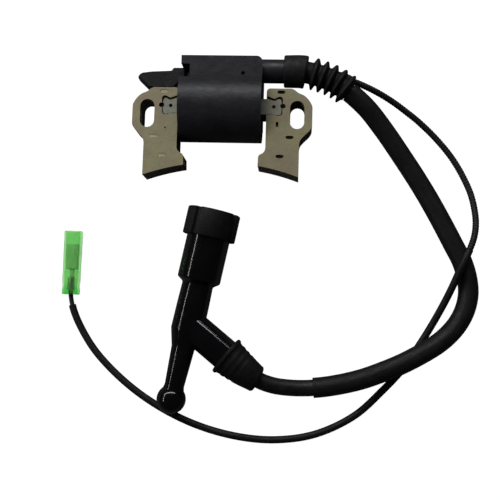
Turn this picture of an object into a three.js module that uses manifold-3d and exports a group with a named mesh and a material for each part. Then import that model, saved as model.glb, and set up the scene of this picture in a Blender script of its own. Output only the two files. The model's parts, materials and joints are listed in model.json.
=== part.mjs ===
// An ignition coil for a small four-stroke engine, with its high-tension lead and plug cap and its
// stop-switch lead, laid out on a table. Millimetres, +Z up. The origin is on the rear face of the
// coil, midway between the two mounting slots; +X runs towards the lead outlet and +Y away from
// the flywheel.
import * as THREE from 'three';
import { mergeVertices } from 'three/addons/utils/BufferGeometryUtils.js';
import Module from 'manifold-3d';

const wasm = await Module();
wasm.setup();

// ---------- driving dimensions ----------
const fit = 0.3; // clearance between two pieces that lie against each other

// Laminated poles and core
const slotSpacing = 73; // between the centres of the two mounting slots
const slotWidth = 7; // for an M6 bolt
const slotLength = 13.9;
const slotWall = 3.8; // iron between a slot and the pole's outer edge
const legInset = 6.1; // how far the leg's outer edge lies inside the ear's
const legWidth = 16.2; // width of a leg above its shoe
const stackThickness = 14;
const stackBack = 10; // height of the stacks' rear face above the coil's rear face
const poleTop = 13; // height of a pole's top edge above the slot centres
const flywheelRadius = 110; // the pole faces follow the magnet ring
const poleFaceDrop = 23.8; // from the slot centres to the top of the pole face circle
const shoeReach = 3.4; // how far a shoe reaches in past its leg
const shoeHeight = 5;
const coreHeight = 8; // along Y
const tenonLap = 7.8; // how far the core's tenon runs into a pole
const rivetHole = 1.75;
const keyHole = 2.2;

// Moulded coil case
const caseGap = 0.8; // between the case and a pole's leg
const caseWall = 1.8;
const caseShort = 1.6; // how much nearer the middle the lead outlet's end is than the other end
const barrelRoom = 1; // between the windings and the barrel
const barrelShift = 0.6; // of the barrel's middle above the core's
const barrelTurn = 62; // degrees that the barrel's round runs on behind its widest line
const caseTop = 29.3; // top edge of the box part
const boxFront = 24; // front face of the box part
const cornerRadius = 3;
const leadTroughY = 24.4; // groove across the rear face for the stop lead
const leadTroughWidth = 3.6;
const leadTroughDepth = 3.4;

// Windings round the core
const windingRoom = 0.4; // from the bobbins' end to the wall of the recess
const bobbinFlange = 1;
const primaryTube = 9.5; // outer radius of the primary bobbin's tube
const primaryDepth = 1.2; // of the wire on the bobbin
const bobbinRoom = 0.5; // between the primary and the secondary's bobbin
const bobbinWall = 0.7;
const secondaryDepth = 1.1;
const flangeStand = 0.4; // how far the secondary's flanges stand over its wire
const secondarySections = 4;

// Ignition module behind the box part
const boardSize = [22, 1.2, 14];
const boardZ = 12; // height of the board's middle
const moduleRoom = 2; // between the windings and the module

// Stop terminal and its pull-off receptacle
const bladeWidth = 2.8;
const bladeThickness = 0.8;
const bladeReach = 6.4; // how far the blade stands out of the recess wall
const bladeRoom = 3.2; // from the windings to the blade's middle
const bladeZ = 17;
const recessDepth = 4.3;
const recessWall = 1.4;
const recessDrop = 2.2; // of the recess's floor below the receptacle's sleeve
const receptacleLength = 6;
const receptacleWall = 0.6;
const crimpLength = 8; // from the receptacle's box to the end of its crimp
const crimpHalf = 1.1;
const crimpOffset = 1; // the crimp lies this much lower than the blade
const sleeveThickness = 5.6;
const sleeveWall = 0.8;

// Lead outlet and grommet
const leadRadius = 4; // high-tension lead
const leadSlide = 0.35; // round the lead in its bores
const neckWall = 1.5;
const collarWall = 1.95;
const neckEnd = 13.3; // along the high-tension lead from its inner end
const collarStart = 6.3; // along the lead, as is all that follows here
const collarLength = 11;
const bootWall = 1.05; // rubber round the lead between the ribs
const ribDepth = 2.6;
const ribCount = 5;
const ribPitch = 4.2;
const firstRib = 21.5;
const ribTail = 2.3; // from the last rib to the grommet's end
const wireLead = 9.1; // how much shorter the stop lead's way through the grommet is
const wireCover = 0.9; // rubber round the stop lead inside the grommet
const wireJoin = 0.5; // from a lead's end to the joint inside the grommet

// Protective sleeve on the high-tension lead
const htSleeveSlack = 0.5; // round the lead
const htSleeveWall = 0.5;
const htBare = 58.8; // length of bare lead from the sleeve to the lead's end

// Stop lead, its two sleeves and its connector
const wireRadius = 1.15;
const upperSleeveWall = 0.2;
const lowerSleeveWall = 0.45;
const connectorWidth = 9;
const crimpWall = 0.5;
const connectorWall = 0.7;
const connectorLength = 31.9;
const connectorEnd = 2; // how far the cover reaches past the crimp towards the wire

// Plug cap, from the crossing of its stem and its branch
const capMouth = 56.3; // to the rim of the rubber seal
const capSealLength = 13.5;
const capSealWall = 2.1;
const capSealRim = 1.8;
const capBodyRadius = 10.6;
const capBodyLength = 34.6; // from the seal's rim to the shoulder
const capStemRadius = 7.6;
const capStemFlare = 0.4; // how much the stem widens down to its branch
const capTailRoot = 5.7;
const capTailTip = 4.75;
const capTailLength = 20.2;
const capKnobRadius = 7.3;
const capKnobLength = 11;
const capSlope = 0.03; // rise of the stem towards its mouth, as the cap lies on the table
const capTurn = 11.3; // degrees from +Y towards +X
const branchRadius = 7.75;
const branchLength = 31;
const branchLap = 12.3; // where the lead ends inside the branch
const cableSealLap = 7.6; // over the branch's end
const cableSealLength = 19.6;
const cableSealWall = 1.95; // at the branch
const cableSealTipWall = 2.3; // at the lead
const plugBore = 6.6;
const clipBore = 4.6;
const stemBore = 3.6;

// ---------- cord routes, points chosen by hand ----------
const htRoute = [
  [23.2, 23.7, 17], [31, 23.7, 17], [38.5, 23.65, 17], [44.6, 22.5, 16.9], [48.5, 21.3, 16.8],
  [52.5, 19.8, 16.6], [56.3, 17.9, 16.4], [59.9, 15.5, 16.1], [66.1, 10.6, 15], [71.6, 5.7, 13.2],
  [80.6, -4.9, 9.9], [88, -14.9, 7.6], [95.2, -25.2, 6], [101.9, -35.8, 5.2], [108.3, -47.2, 5.1],
  [114.7, -59.4, 5.1], [118.8, -67.4, 5.1], [121.2, -75.6, 5.1], [121.8, -83, 5.1], [120.4, -90.2, 5.2],
  [117.2, -96.9, 5.6], [112.6, -102.6, 6.7], [107, -107.5, 7.8], [99.2, -112.5, 9.2], [89.5, -117.8, 9.7],
  [81.5, -121.4, 9.7], [71.3, -125.4, 9.1], [62, -128.1, 7.6], [51.6, -130.2, 6], [43, -131, 5.7],
  [34.8, -130.9, 7], [27.8, -130, 8.7], [21.4, -127.9, 10.4], [15.6, -124.4, 11.5], [9.6, -120, 11.8],
  [2.5, -114.4, 11.8], [-4.3, -109, 11.8],
];
const stopRoute = [
  [33.1, 23.7, 9.2], [41, 23.5, 9.6], [46, 23.3, 10.6], [51.4, 23.3, 11.6], [57.2, 22.9, 12.6], [63.3, 20.5, 13.2],
  [68.1, 18.7, 12.8], [73.8, 16.4, 11.6], [79.5, 13.8, 9.9], [84.9, 10.9, 8.1], [90.8, 7.1, 6.3],
  [96.7, 2.9, 4.8], [104.8, -4.2, 3.1], [112.3, -12.7, 2.5], [116.7, -19.3, 2.6],
  [120.3, -26.4, 3.3], [122.9, -33.3, 4.6], [124.3, -40.5, 6.4], [124.7, -48.2, 8.6], [123.5, -55.6, 10.8],
  [120.8, -62.7, 12.4], [117.3, -70.1, 12.6], [113.6, -79.2, 10.6], [110.3, -87, 7.6], [104.2, -99.3, 3.4],
  [99.1, -108, 2.1], [91.8, -119.2, 1.95], [81, -131.3, 1.95], [67.7, -143.7, 1.95], [49.1, -153.1, 1.95],
  [30.5, -156.5, 1.95], [12.2, -155.8, 1.95], [-8.4, -151.1, 1.95], [-27.9, -142.7, 1.95],
  [-45.4, -131.3, 1.95], [-61, -116.7, 1.95], [-69.5, -104.4, 1.95], [-73.6, -95.5, 2.4],
  [-75.1, -88.6, 3.05], [-75.2, -81, 3.05],
];

// ---------- places worked out from the dimensions ----------
const slotX = slotSpacing / 2;
const earX = slotX + slotWidth / 2 + slotWall;
const legOuter = earX - legInset;
const legInner = legOuter - legWidth;
const caseHalf = legInner - caseGap;
const caseRight = caseHalf - caseShort;
const stackFront = stackBack + stackThickness;
const tenonEnd = legInner + tenonLap;
const coreY = coreHeight / 2;
const coreZ = stackBack + stackThickness / 2;
const barrelY = coreY + barrelShift;
const barrelZ = coreZ;
const primaryRadius = primaryTube + fit + primaryDepth;
const secondaryInner = primaryRadius + bobbinRoom;
const secondaryTube = secondaryInner + bobbinWall;
const secondaryRadius = secondaryTube + fit + secondaryDepth;
const secondaryFlange = secondaryRadius + flangeStand;
const barrelRadius = secondaryFlange + barrelRoom + caseWall;
const moduleY = coreY + secondaryFlange + moduleRoom;
const bladeY = coreY + secondaryFlange + bladeRoom;
const recessFloor = bladeZ - sleeveThickness / 2 - recessDrop;
const chamberFront = boxFront - caseWall;
const leadBore = leadRadius + leadSlide;
const neckRadius = leadBore + neckWall;
const collarRadius = neckRadius + fit + collarWall;
const grommetEnd = firstRib + (ribCount - 1) * ribPitch + ribTail;
const ribValley = leadRadius + fit + bootWall;
const ribRadius = ribValley + ribDepth;
const htSleeveBore = leadRadius + htSleeveSlack;
const htSleeveRadius = htSleeveBore + htSleeveWall;
const wireSleeveBore = wireRadius + fit;
const upperSleeveRadius = wireSleeveBore + upperSleeveWall;
const lowerSleeveRadius = wireSleeveBore + lowerSleeveWall;
const capSealRadius = capBodyRadius + fit + capSealWall;
const crimpBore = wireRadius + fit;
const connectorThickness = 2 * (crimpBore + crimpWall + fit + connectorWall);
const cableSealStart = branchLength - cableSealLap;
const cableSealRoot = branchRadius + fit + cableSealWall;
const cableSealTip = leadRadius + fit + cableSealTipWall;

// ---------- solids ----------
// A closed geometry with only its positions, its shared vertices merged and its faces outward.
function closed(geometry) {
  const bare = geometry.clone();
  bare.deleteAttribute('normal');
  bare.deleteAttribute('uv');
  const merged = mergeVertices(bare, 1e-4);
  const index = merged.index.array;
  const kept = [];
  for (let i = 0; i < index.length; i += 3) {
    const [a, b, c] = [index[i], index[i + 1], index[i + 2]];
    if (a !== b && b !== c && a !== c) kept.push(a, b, c);
  }
  merged.setIndex(kept);
  if (volumeOf(merged) < 0) {
    for (let i = 0; i < kept.length; i += 3) [kept[i], kept[i + 1]] = [kept[i + 1], kept[i]];
    merged.setIndex(kept);
  }
  return merged;
}

function volumeOf(geometry) {
  const at = geometry.attributes.position;
  const index = geometry.index.array;
  const corner = [new THREE.Vector3(), new THREE.Vector3(), new THREE.Vector3()];
  let six = 0;
  for (let i = 0; i < index.length; i += 3) {
    corner.forEach((v, k) => v.fromBufferAttribute(at, index[i + k]));
    six += corner[0].dot(corner[1].clone().cross(corner[2]));
  }
  return six / 6;
}

function manifoldOf(geometry) {
  const g = closed(geometry);
  const mesh = new wasm.Mesh({
    numProp: 3,
    vertProperties: new Float32Array(g.attributes.position.array),
    triVerts: new Uint32Array(g.index.array),
  });
  return new wasm.Manifold(mesh);
}

function geometryOf(manifold) {
  const mesh = manifold.getMesh();
  const geometry = new THREE.BufferGeometry();
  geometry.setAttribute('position', new THREE.BufferAttribute(mesh.vertProperties, 3));
  geometry.setIndex(new THREE.BufferAttribute(mesh.triVerts, 1));
  return geometry;
}

function cut(base, ...tools) {
  return geometryOf(tools.reduce((solid, tool) => solid.subtract(manifoldOf(tool)), manifoldOf(base)));
}

function join(base, ...others) {
  return geometryOf(others.reduce((solid, other) => solid.add(manifoldOf(other)), manifoldOf(base)));
}

function common(base, other) {
  return geometryOf(manifoldOf(base).intersect(manifoldOf(other)));
}

// A block between two corners.
function block(low, high) {
  const size = high.map((value, k) => value - low[k]);
  const geometry = new THREE.BoxGeometry(...size);
  return geometry.translate(...low.map((value, k) => value + size[k] / 2));
}

// A shape in the XY plane, raised from one height to another.
function slab(shape, from, to, curveSegments = 10) {
  const geometry = new THREE.ExtrudeGeometry(shape, { depth: to - from, bevelEnabled: false, curveSegments });
  return geometry.translate(0, 0, from);
}

// A shape whose own axes are Y and Z, run along X.
function bar(shape, from, to, curveSegments = 16) {
  const turn = new THREE.Matrix4().makeBasis(
    new THREE.Vector3(0, 1, 0), new THREE.Vector3(0, 0, 1), new THREE.Vector3(1, 0, 0));
  return slab(shape, from, to, curveSegments).applyMatrix4(turn);
}

// Profile points are [distance along the axis, radius]; the axis runs from a point in a direction.
function turned(profile, origin, direction, sides = 24) {
  const points = profile.map(([along, radius]) => new THREE.Vector2(radius, along));
  const geometry = new THREE.LatheGeometry(points, sides);
  const turn = new THREE.Quaternion().setFromUnitVectors(
    new THREE.Vector3(0, 1, 0), new THREE.Vector3(...direction).normalize());
  return geometry.applyQuaternion(turn).translate(...origin);
}

function rod(radius, from, to, sides = 16) {
  const span = new THREE.Vector3(...to).sub(new THREE.Vector3(...from));
  return turned([[0, 0], [0, radius], [span.length(), radius], [span.length(), 0]], from, span.toArray(), sides);
}

// A ring along the X axis round the core.
function coil(inner, outer, from, to, sides = 24) {
  const profile = [[from, inner], [from, outer], [to, outer], [to, inner], [from, inner]];
  return turned(profile, [0, coreY, coreZ], [1, 0, 0], sides);
}

// ---------- cords ----------
// A cord's centreline, sampled once, so that a lead and the sleeve on it share the same facets.
class Route {
  constructor(points, step) {
    this.curve = new THREE.CatmullRomCurve3(points.map((p) => new THREE.Vector3(...p)), false, 'centripetal');
    this.curve.arcLengthDivisions = 1200;
    this.length = this.curve.getLength();
    this.count = Math.round(this.length / step);
    this.places = this.curve.getSpacedPoints(this.count);
    this.frames = this.curve.computeFrenetFrames(this.count, false);
  }

  // The stretch between two lengths along the cord, as a path for ExtrudeGeometry. Its ends lie on
  // the straight runs between the route's own points, so that nested tubes keep their gap.
  stretch(from, to) {
    const gap = this.length / this.count;
    const near = 0.1;
    const rings = [this.ringAt(from / gap)];
    for (let i = Math.ceil(from / gap + near); i < to / gap - near; i += 1) rings.push(this.ringAt(i));
    rings.push(this.ringAt(to / gap));
    return {
      steps: rings.length - 1,
      getSpacedPoints: () => rings.map((ring) => ring.place),
      computeFrenetFrames: () => ({
        tangents: rings.map((ring) => ring.tangent),
        normals: rings.map((ring) => ring.normal),
        binormals: rings.map((ring) => ring.binormal),
      }),
    };
  }

  ringAt(step) {
    const i = Math.max(0, Math.min(this.count - 1, Math.floor(step)));
    const share = Math.max(0, Math.min(1, step - i));
    const between = (list) => list[i].clone().lerp(list[i + 1], share);
    return {
      place: between(this.places),
      tangent: between(this.frames.tangents),
      normal: between(this.frames.normals),
      binormal: between(this.frames.binormals),
    };
  }

  // The centre, and the directions sideways and upwards, at a length along the cord.
  frameAt(length) {
    const u = Math.min(1, Math.max(0, length / this.length));
    const centre = this.curve.getPointAt(u);
    const ahead = this.curve.getTangentAt(u);
    const side = new THREE.Vector3(0, 0, 1).cross(ahead).normalize();
    const up = ahead.clone().cross(side);
    return { centre, side, up, ahead };
  }
}

function ringShape(radius, bore, sides) {
  const circle = (r) => Array.from({ length: sides }, (_, k) => {
    const angle = ((k + 0.5) / sides) * 2 * Math.PI;
    return new THREE.Vector2(r * Math.cos(angle), r * Math.sin(angle));
  });
  const shape = new THREE.Shape(circle(radius));
  if (bore) shape.holes.push(new THREE.Path(circle(bore)));
  return shape;
}

function tube(route, from, to, radius, bore, sides) {
  const path = route.stretch(from, to);
  return new THREE.ExtrudeGeometry(ringShape(radius, bore, sides), { extrudePath: path, steps: path.steps });
}

// A turned profile bent along a cord: its axis lengths are lengths along the cord.
function bent(profile, route, sides = 20) {
  const longest = 3.5;
  const divided = profile.slice(0, 1);
  profile.slice(1).forEach(([end, radius], k) => {
    const [start, startRadius] = profile[k];
    const parts = Math.max(1, Math.ceil(Math.abs(end - start) / longest));
    for (let i = 1; i <= parts; i += 1) {
      divided.push([start + ((end - start) * i) / parts, startRadius + ((radius - startRadius) * i) / parts]);
    }
  });
  const geometry = closed(turned(divided, [0, 0, 0], [0, 1, 0], sides));
  const at = geometry.attributes.position;
  const point = new THREE.Vector3();
  for (let i = 0; i < at.count; i += 1) {
    point.fromBufferAttribute(at, i);
    const { centre, side, up } = route.frameAt(point.y);
    const place = centre.addScaledVector(side, point.x).addScaledVector(up, point.z);
    at.setXYZ(i, place.x, place.y, place.z);
  }
  return geometry;
}

const htCord = new Route(htRoute, 7.5);
const stopCord = new Route(stopRoute, 7);

// ---------- the assembly ----------
const coilAssembly = new THREE.Group();
const capGroup = new THREE.Group();
coilAssembly.add(capGroup);

function material(color, roughness, metalness = 0) {
  return new THREE.MeshStandardMaterial({ color, roughness, metalness });
}

function piece(name, geometry, finish, group = coilAssembly) {
  const body = closed(geometry).toNonIndexed();
  body.computeVertexNormals();
  const mesh = new THREE.Mesh(body, finish);
  mesh.name = name;
  group.add(mesh);
}

const laminated = () => material(0x847a66, 0.5, 0.7);
const caseBlack = () => material(0x1d1d21, 0.4);
const rubberBlack = () => material(0x151517, 0.7);
const brass = () => material(0xb08d4a, 0.35, 0.9);
const tinned = () => material(0xa9a9a4, 0.35, 0.9);
const copper = () => material(0x9a4f2a, 0.4, 0.9);
const bobbinPlastic = () => material(0xcfc8b4, 0.6);

// ---------- laminated poles ----------
// The right-hand pole's outline; the left one is its mirror image.
function poleOutline() {
  const shape = new THREE.Shape();
  const faceY = (x) => -flywheelRadius - poleFaceDrop + Math.sqrt(flywheelRadius ** 2 - x ** 2);
  const shoeX = legInner - shoeReach;
  const innerRound = 1.7;
  shape.moveTo(legInner, poleTop - innerRound);
  shape.absarc(legInner + innerRound, poleTop - innerRound, innerRound, Math.PI, Math.PI / 2, true);
  shape.lineTo(earX - 10, poleTop);
  shape.quadraticCurveTo(earX - 8, poleTop - 0.6, earX - 6.4, poleTop - 2.2);
  shape.quadraticCurveTo(earX - 1, poleTop - 4.2, earX, 4.2);
  shape.lineTo(earX, -5.2);
  shape.quadraticCurveTo(earX - 0.8, -8.6, earX - 4, -10.5);
  shape.quadraticCurveTo(legOuter, -12.6, legOuter, -14.6);
  shape.lineTo(legOuter, faceY(legOuter));
  const steps = 8;
  for (let i = 1; i <= steps; i += 1) {
    const x = legOuter + ((shoeX - legOuter) * i) / steps;
    shape.lineTo(x, faceY(x));
  }
  shape.lineTo(shoeX, faceY(shoeX) + shoeHeight);
  shape.quadraticCurveTo(legInner, faceY(shoeX) + shoeHeight + 1.6, legInner, faceY(shoeX) + shoeHeight + 5);
  shape.lineTo(legInner, poleTop - innerRound);
  return shape;
}

function slotOutline(length, width) {
  const path = new THREE.Shape();
  const straight = length / 2 - width / 2;
  path.absarc(slotX, straight, width / 2, 0, Math.PI, false);
  path.absarc(slotX, -straight, width / 2, Math.PI, 2 * Math.PI, false);
  return path;
}

const through = [stackBack - 1, stackFront + 1];

function polePlate() {
  const notch = block(
    [legInner - 2, -fit, through[0]], [tenonEnd + fit, coreHeight + fit + 0.6, through[1]]);
  const key = rod(keyHole / 2, [tenonEnd + fit / 2, coreY, through[0]], [tenonEnd + fit / 2, coreY, through[1]], 12);
  return cut(
    slab(poleOutline(), stackBack, stackFront),
    slab(slotOutline(slotLength, slotWidth), ...through),
    notch,
    key,
  );
}

piece('right_pole_stack', polePlate(), laminated());
piece('left_pole_stack', polePlate().scale(-1, 1, 1), laminated());

// ---------- core bar ----------
// The bar that joins the poles through the windings, with a waved upper edge on each tenon.
function coreOutline() {
  const shape = new THREE.Shape();
  const wave = 0.45;
  const root = legInner;
  shape.moveTo(-tenonEnd, 0);
  shape.lineTo(tenonEnd, 0);
  shape.lineTo(tenonEnd, coreHeight - wave);
  shape.quadraticCurveTo(tenonEnd - tenonLap / 4, coreHeight + wave, tenonEnd - tenonLap / 2, coreHeight - wave);
  shape.quadraticCurveTo(root + tenonLap / 4, coreHeight - 2 * wave, root, coreHeight);
  shape.lineTo(-root, coreHeight);
  shape.quadraticCurveTo(-root - tenonLap / 4, coreHeight - 2 * wave, -tenonEnd + tenonLap / 2, coreHeight - wave);
  shape.quadraticCurveTo(-tenonEnd + tenonLap / 4, coreHeight + wave, -tenonEnd, coreHeight - wave);
  shape.lineTo(-tenonEnd, 0);
  return shape;
}

const coreHoles = [-1, 1].flatMap((side) => {
  const rivetX = side * (tenonEnd - 4.2);
  const keyX = side * (tenonEnd + fit / 2);
  return [
    rod(rivetHole / 2, [rivetX, coreY, through[0]], [rivetX, coreY, through[1]], 10),
    rod(keyHole / 2, [keyX, coreY, through[0]], [keyX, coreY, through[1]], 12),
  ];
});
piece('core_bar_stack', cut(slab(coreOutline(), stackBack, stackFront, 4), ...coreHoles), laminated());

// ---------- coil case ----------
// The case's section in Y and Z, drawn in by an inset: a barrel in front and a box above it.
function caseSection(inset, rear) {
  const shape = new THREE.Shape();
  const radius = barrelRadius - inset;
  const front = boxFront - inset;
  const meet = Math.asin((front - barrelZ) / radius);
  const footY = barrelY - barrelRadius * Math.cos(THREE.MathUtils.degToRad(barrelTurn)) + inset;
  const turn = Math.acos((barrelY - footY) / radius);
  shape.moveTo(footY, rear);
  shape.lineTo(caseTop - inset, rear);
  shape.lineTo(caseTop - inset, front);
  shape.lineTo(barrelY + radius * Math.cos(meet), front);
  shape.absarc(barrelY, barrelZ, radius, meet, Math.PI, false);
  shape.absarc(barrelY, barrelZ, radius, Math.PI, Math.PI + turn, false);
  shape.lineTo(footY, rear);
  return shape;
}

function casePlan() {
  const shape = new THREE.Shape();
  const low = barrelY - barrelRadius - 1;
  const small = 0.8;
  shape.moveTo(-caseHalf, low);
  shape.lineTo(caseRight, low);
  shape.absarc(caseRight - cornerRadius, caseTop - cornerRadius, cornerRadius, 0, Math.PI / 2, false);
  shape.absarc(-caseHalf + small, caseTop - small, small, Math.PI / 2, Math.PI, false);
  shape.lineTo(-caseHalf, low);
  return shape;
}

const receptacleHalf = bladeWidth / 2 + fit + receptacleWall;
const receptacleHigh = bladeThickness / 2 + fit + receptacleWall;
const sleeveHalf = receptacleHalf + fit + sleeveWall;
const recess = {
  low: [-caseHalf - 1, bladeY - sleeveHalf - fit - 0.1, recessFloor],
  high: [-caseHalf + recessDepth, bladeY + sleeveHalf + fit + 0.1, boxFront + 1],
};
const neckStart = htRoute[0];
const pinRadius = 0.8;
const pinHole = pinRadius + fit;
const innerLeft = caseHalf - caseWall;
const innerRight = caseRight - caseWall;
const recessGuard = block(
  [recess.low[0], recess.low[1] - recessWall, recess.low[2] - recessWall],
  [recess.high[0] + recessWall, recess.high[1] + recessWall, recess.high[2]]);
const chamber = cut(bar(caseSection(caseWall, -1), -innerLeft, innerRight), recessGuard);
const coreSlot = block(
  [-caseHalf - 1, -fit, stackBack - fit], [caseHalf + 1, coreHeight + fit + 0.2, stackFront + fit]);
const bladeSlot = block(
  [-caseHalf - 1, bladeY - bladeWidth / 2 - fit, bladeZ - bladeThickness / 2 - fit],
  [recess.high[0] + recessWall + 0.5, bladeY + bladeWidth / 2 + fit, bladeZ + bladeThickness / 2 + fit]);
const trough = block(
  [-caseHalf - 1, leadTroughY - leadTroughWidth / 2, -1],
  [caseHalf + 1, leadTroughY + leadTroughWidth / 2, leadTroughDepth]);
const neck = rod(neckRadius, [caseRight - 1, neckStart[1], neckStart[2]],
  [neckStart[0] + neckEnd, neckStart[1], neckStart[2]], 24);
const neckBore = rod(leadBore, [neckStart[0] - fit, neckStart[1], neckStart[2]],
  [neckStart[0] + neckEnd + 1, neckStart[1], neckStart[2]], 24);
const pinBore = rod(pinHole, [innerRight - 1, neckStart[1], neckStart[2]], neckStart, 12);
const gateX = caseRight - 9.4;
const gateY = barrelY + Math.sqrt(barrelRadius ** 2 - (boxFront - barrelZ) ** 2) + 0.6;
const gate = rod(1, [gateX, gateY, boxFront - 1], [gateX, gateY, boxFront + 1], 12);
const shell = common(bar(caseSection(0, 0), -caseHalf, caseRight), slab(casePlan(), -1, barrelZ + barrelRadius + 1));
piece('coil_case',
  cut(join(shell, neck), chamber, coreSlot, recessBlock(), bladeSlot, trough, neckBore, pinBore, gate),
  caseBlack());

function recessBlock() {
  return block(recess.low, recess.high);
}

// ---------- windings ----------
const halfWinding = caseHalf - recessDepth - recessWall - windingRoom;
const primaryFlange = 11.2;
const coreTunnel = block(
  [-caseHalf, -fit, stackBack - fit], [caseHalf, coreHeight + fit, stackFront + fit]);
const primaryProfile = [
  [-halfWinding, 0], [-halfWinding, primaryFlange], [-halfWinding + bobbinFlange, primaryFlange],
  [-halfWinding + bobbinFlange, primaryTube], [halfWinding - bobbinFlange, primaryTube],
  [halfWinding - bobbinFlange, primaryFlange], [halfWinding, primaryFlange], [halfWinding, 0],
];
piece('primary_bobbin', cut(turned(primaryProfile, [0, coreY, coreZ], [1, 0, 0]), coreTunnel), bobbinPlastic());
const primaryHalf = halfWinding - bobbinFlange - fit;
piece('primary_winding', coil(primaryTube + fit, primaryRadius, -primaryHalf, primaryHalf), copper());

const sectionPitch = (2 * halfWinding - bobbinFlange) / secondarySections;
const secondaryProfile = [[-halfWinding, secondaryInner]];
for (let i = 0; i <= secondarySections; i += 1) {
  const start = -halfWinding + i * sectionPitch;
  secondaryProfile.push([start, i === 0 ? secondaryFlange : secondaryTube]);
  if (i > 0) secondaryProfile.push([start, secondaryFlange]);
  secondaryProfile.push([start + bobbinFlange, secondaryFlange]);
  if (i < secondarySections) secondaryProfile.push([start + bobbinFlange, secondaryTube]);
}
secondaryProfile.push([halfWinding, secondaryInner], [-halfWinding, secondaryInner]);
piece('secondary_bobbin', turned(secondaryProfile, [0, coreY, coreZ], [1, 0, 0]), bobbinPlastic());
for (let i = 0; i < secondarySections; i += 1) {
  const start = -halfWinding + i * sectionPitch + bobbinFlange + fit;
  const end = -halfWinding + (i + 1) * sectionPitch - fit;
  piece(`secondary_winding_${i + 1}`, coil(secondaryTube + fit, secondaryRadius, start, end), copper());
}

// ---------- ignition module ----------
const transistorSize = [8, 2.9, 6];
const transistorLow = [-5, moduleY, 12.5];
const boardLow = [-boardSize[0] / 2, moduleY + transistorSize[1] + fit, boardZ - boardSize[2] / 2];
const boardHigh = boardLow.map((value, k) => value + boardSize[k]);
const capacitorLow = [3, boardHigh[1] + fit, 8];
const capacitorSize = [4.5, 2, 3];
const resistorRadius = 1;
const resistorY = boardHigh[1] + fit + resistorRadius;
const above = (low, size) => low.map((value, k) => value + size[k]);
piece('module_board', block(boardLow, boardHigh), material(0x2f6b3a, 0.5));
piece('power_transistor', block(transistorLow, above(transistorLow, transistorSize)), material(0x202022, 0.5));
piece('module_capacitor', block(capacitorLow, above(capacitorLow, capacitorSize)), material(0xb58a54, 0.5));
piece('module_resistor', rod(resistorRadius, [-8, resistorY, 10], [-1.5, resistorY, 10], 12), material(0x8c7a5c, 0.5));

// ---------- stop terminal, earth strip and high-tension pin ----------
const bladeInner = -halfWinding + 2.6;
piece('stop_terminal_blade', block(
  [recess.high[0] - bladeReach, bladeY - bladeWidth / 2, bladeZ - bladeThickness / 2],
  [bladeInner, bladeY + bladeWidth / 2, bladeZ + bladeThickness / 2]), brass());
const earthX = halfWinding + 1;
const earthLow = [earthX, coreHeight + fit + 0.2, 15];
const earthHigh = [earthX + 0.6, neckStart[1] - pinHole - 0.6, 19];
piece('earth_strip', block(earthLow, earthHigh), brass());
const pinInner = boardHigh[0] + 1.5;
piece('ht_contact_pin', rod(pinRadius, [pinInner, neckStart[1], neckStart[2]],
  [neckStart[0] - fit, neckStart[1], neckStart[2]], 12), brass());

// ---------- potting resin ----------
// Cast flush with the rear rim, behind the windings and through the box part, round the module.
const resinTop = chamberFront - fit;
const pocket = (low, high) => block(low.map((value) => value - fit), [high[0] + fit, high[1] + fit, boxFront]);
const resinZone = join(
  block([-caseHalf, barrelY - barrelRadius, 0], [caseHalf, caseTop, 12]),
  block([-caseHalf, 15, 0], [caseHalf, caseTop, resinTop]));
const resinGuard = block(
  [recess.low[0], recess.low[1] - recessWall - fit, recess.low[2] - recessWall - fit],
  [recess.high[0] + recessWall + fit, recess.high[1] + recessWall + fit, boxFront]);
piece('potting_resin', cut(
  common(cut(bar(caseSection(caseWall + fit, -1), -innerLeft + fit, innerRight - fit), resinGuard), resinZone),
  turned([[-halfWinding - fit, 0], [-halfWinding - fit, secondaryFlange + fit],
    [halfWinding + fit, secondaryFlange + fit], [halfWinding + fit, 0]], [0, coreY, coreZ], [1, 0, 0]),
  coreSlot,
  trough,
  pocket(boardLow, boardHigh),
  pocket(transistorLow, above(transistorLow, transistorSize)),
  pocket(capacitorLow, above(capacitorLow, capacitorSize)),
  pocket([-8, resistorY - resistorRadius, 9], [-1.5, resistorY + resistorRadius, 11]),
  pocket([-caseHalf, bladeY - bladeWidth / 2, bladeZ - bladeThickness / 2],
    [bladeInner, bladeY + bladeWidth / 2, bladeZ]),
  pocket(earthLow, earthHigh),
  pocket([pinInner, neckStart[1] - pinRadius, neckStart[2] - pinRadius],
    [caseHalf, neckStart[1] + pinRadius, neckStart[2]]),
), material(0x1a1816, 0.3));

// ---------- pull-off receptacle and its sleeve ----------
const receptacleEnd = -caseHalf + 1.8;
const receptacleStart = receptacleEnd - receptacleLength;
const barrelStart = receptacleStart - crimpLength;
const crimpMid = bladeY - crimpOffset;
piece('stop_receptacle', cut(
  join(
    block([receptacleStart, bladeY - receptacleHalf, bladeZ - receptacleHigh],
      [receptacleEnd, bladeY + receptacleHalf, bladeZ + receptacleHigh]),
    block([barrelStart, crimpMid - crimpHalf, bladeZ - receptacleHigh],
      [receptacleStart + 0.5, crimpMid + crimpHalf, bladeZ + receptacleHigh])),
  block([receptacleStart + 0.8, bladeY - bladeWidth / 2 - fit, bladeZ - bladeThickness / 2 - fit],
    [receptacleEnd + 1, bladeY + bladeWidth / 2 + fit, bladeZ + bladeThickness / 2 + fit])), tinned());

const wireExit = [barrelStart + 2, crimpMid];
const mouthX = receptacleEnd + fit;
const pouchBack = barrelStart - 9.7; // the slanted blind end
const pouchFloor = poleTop + 0.6;
const pouchStep = receptacleStart - 0.4;

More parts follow.
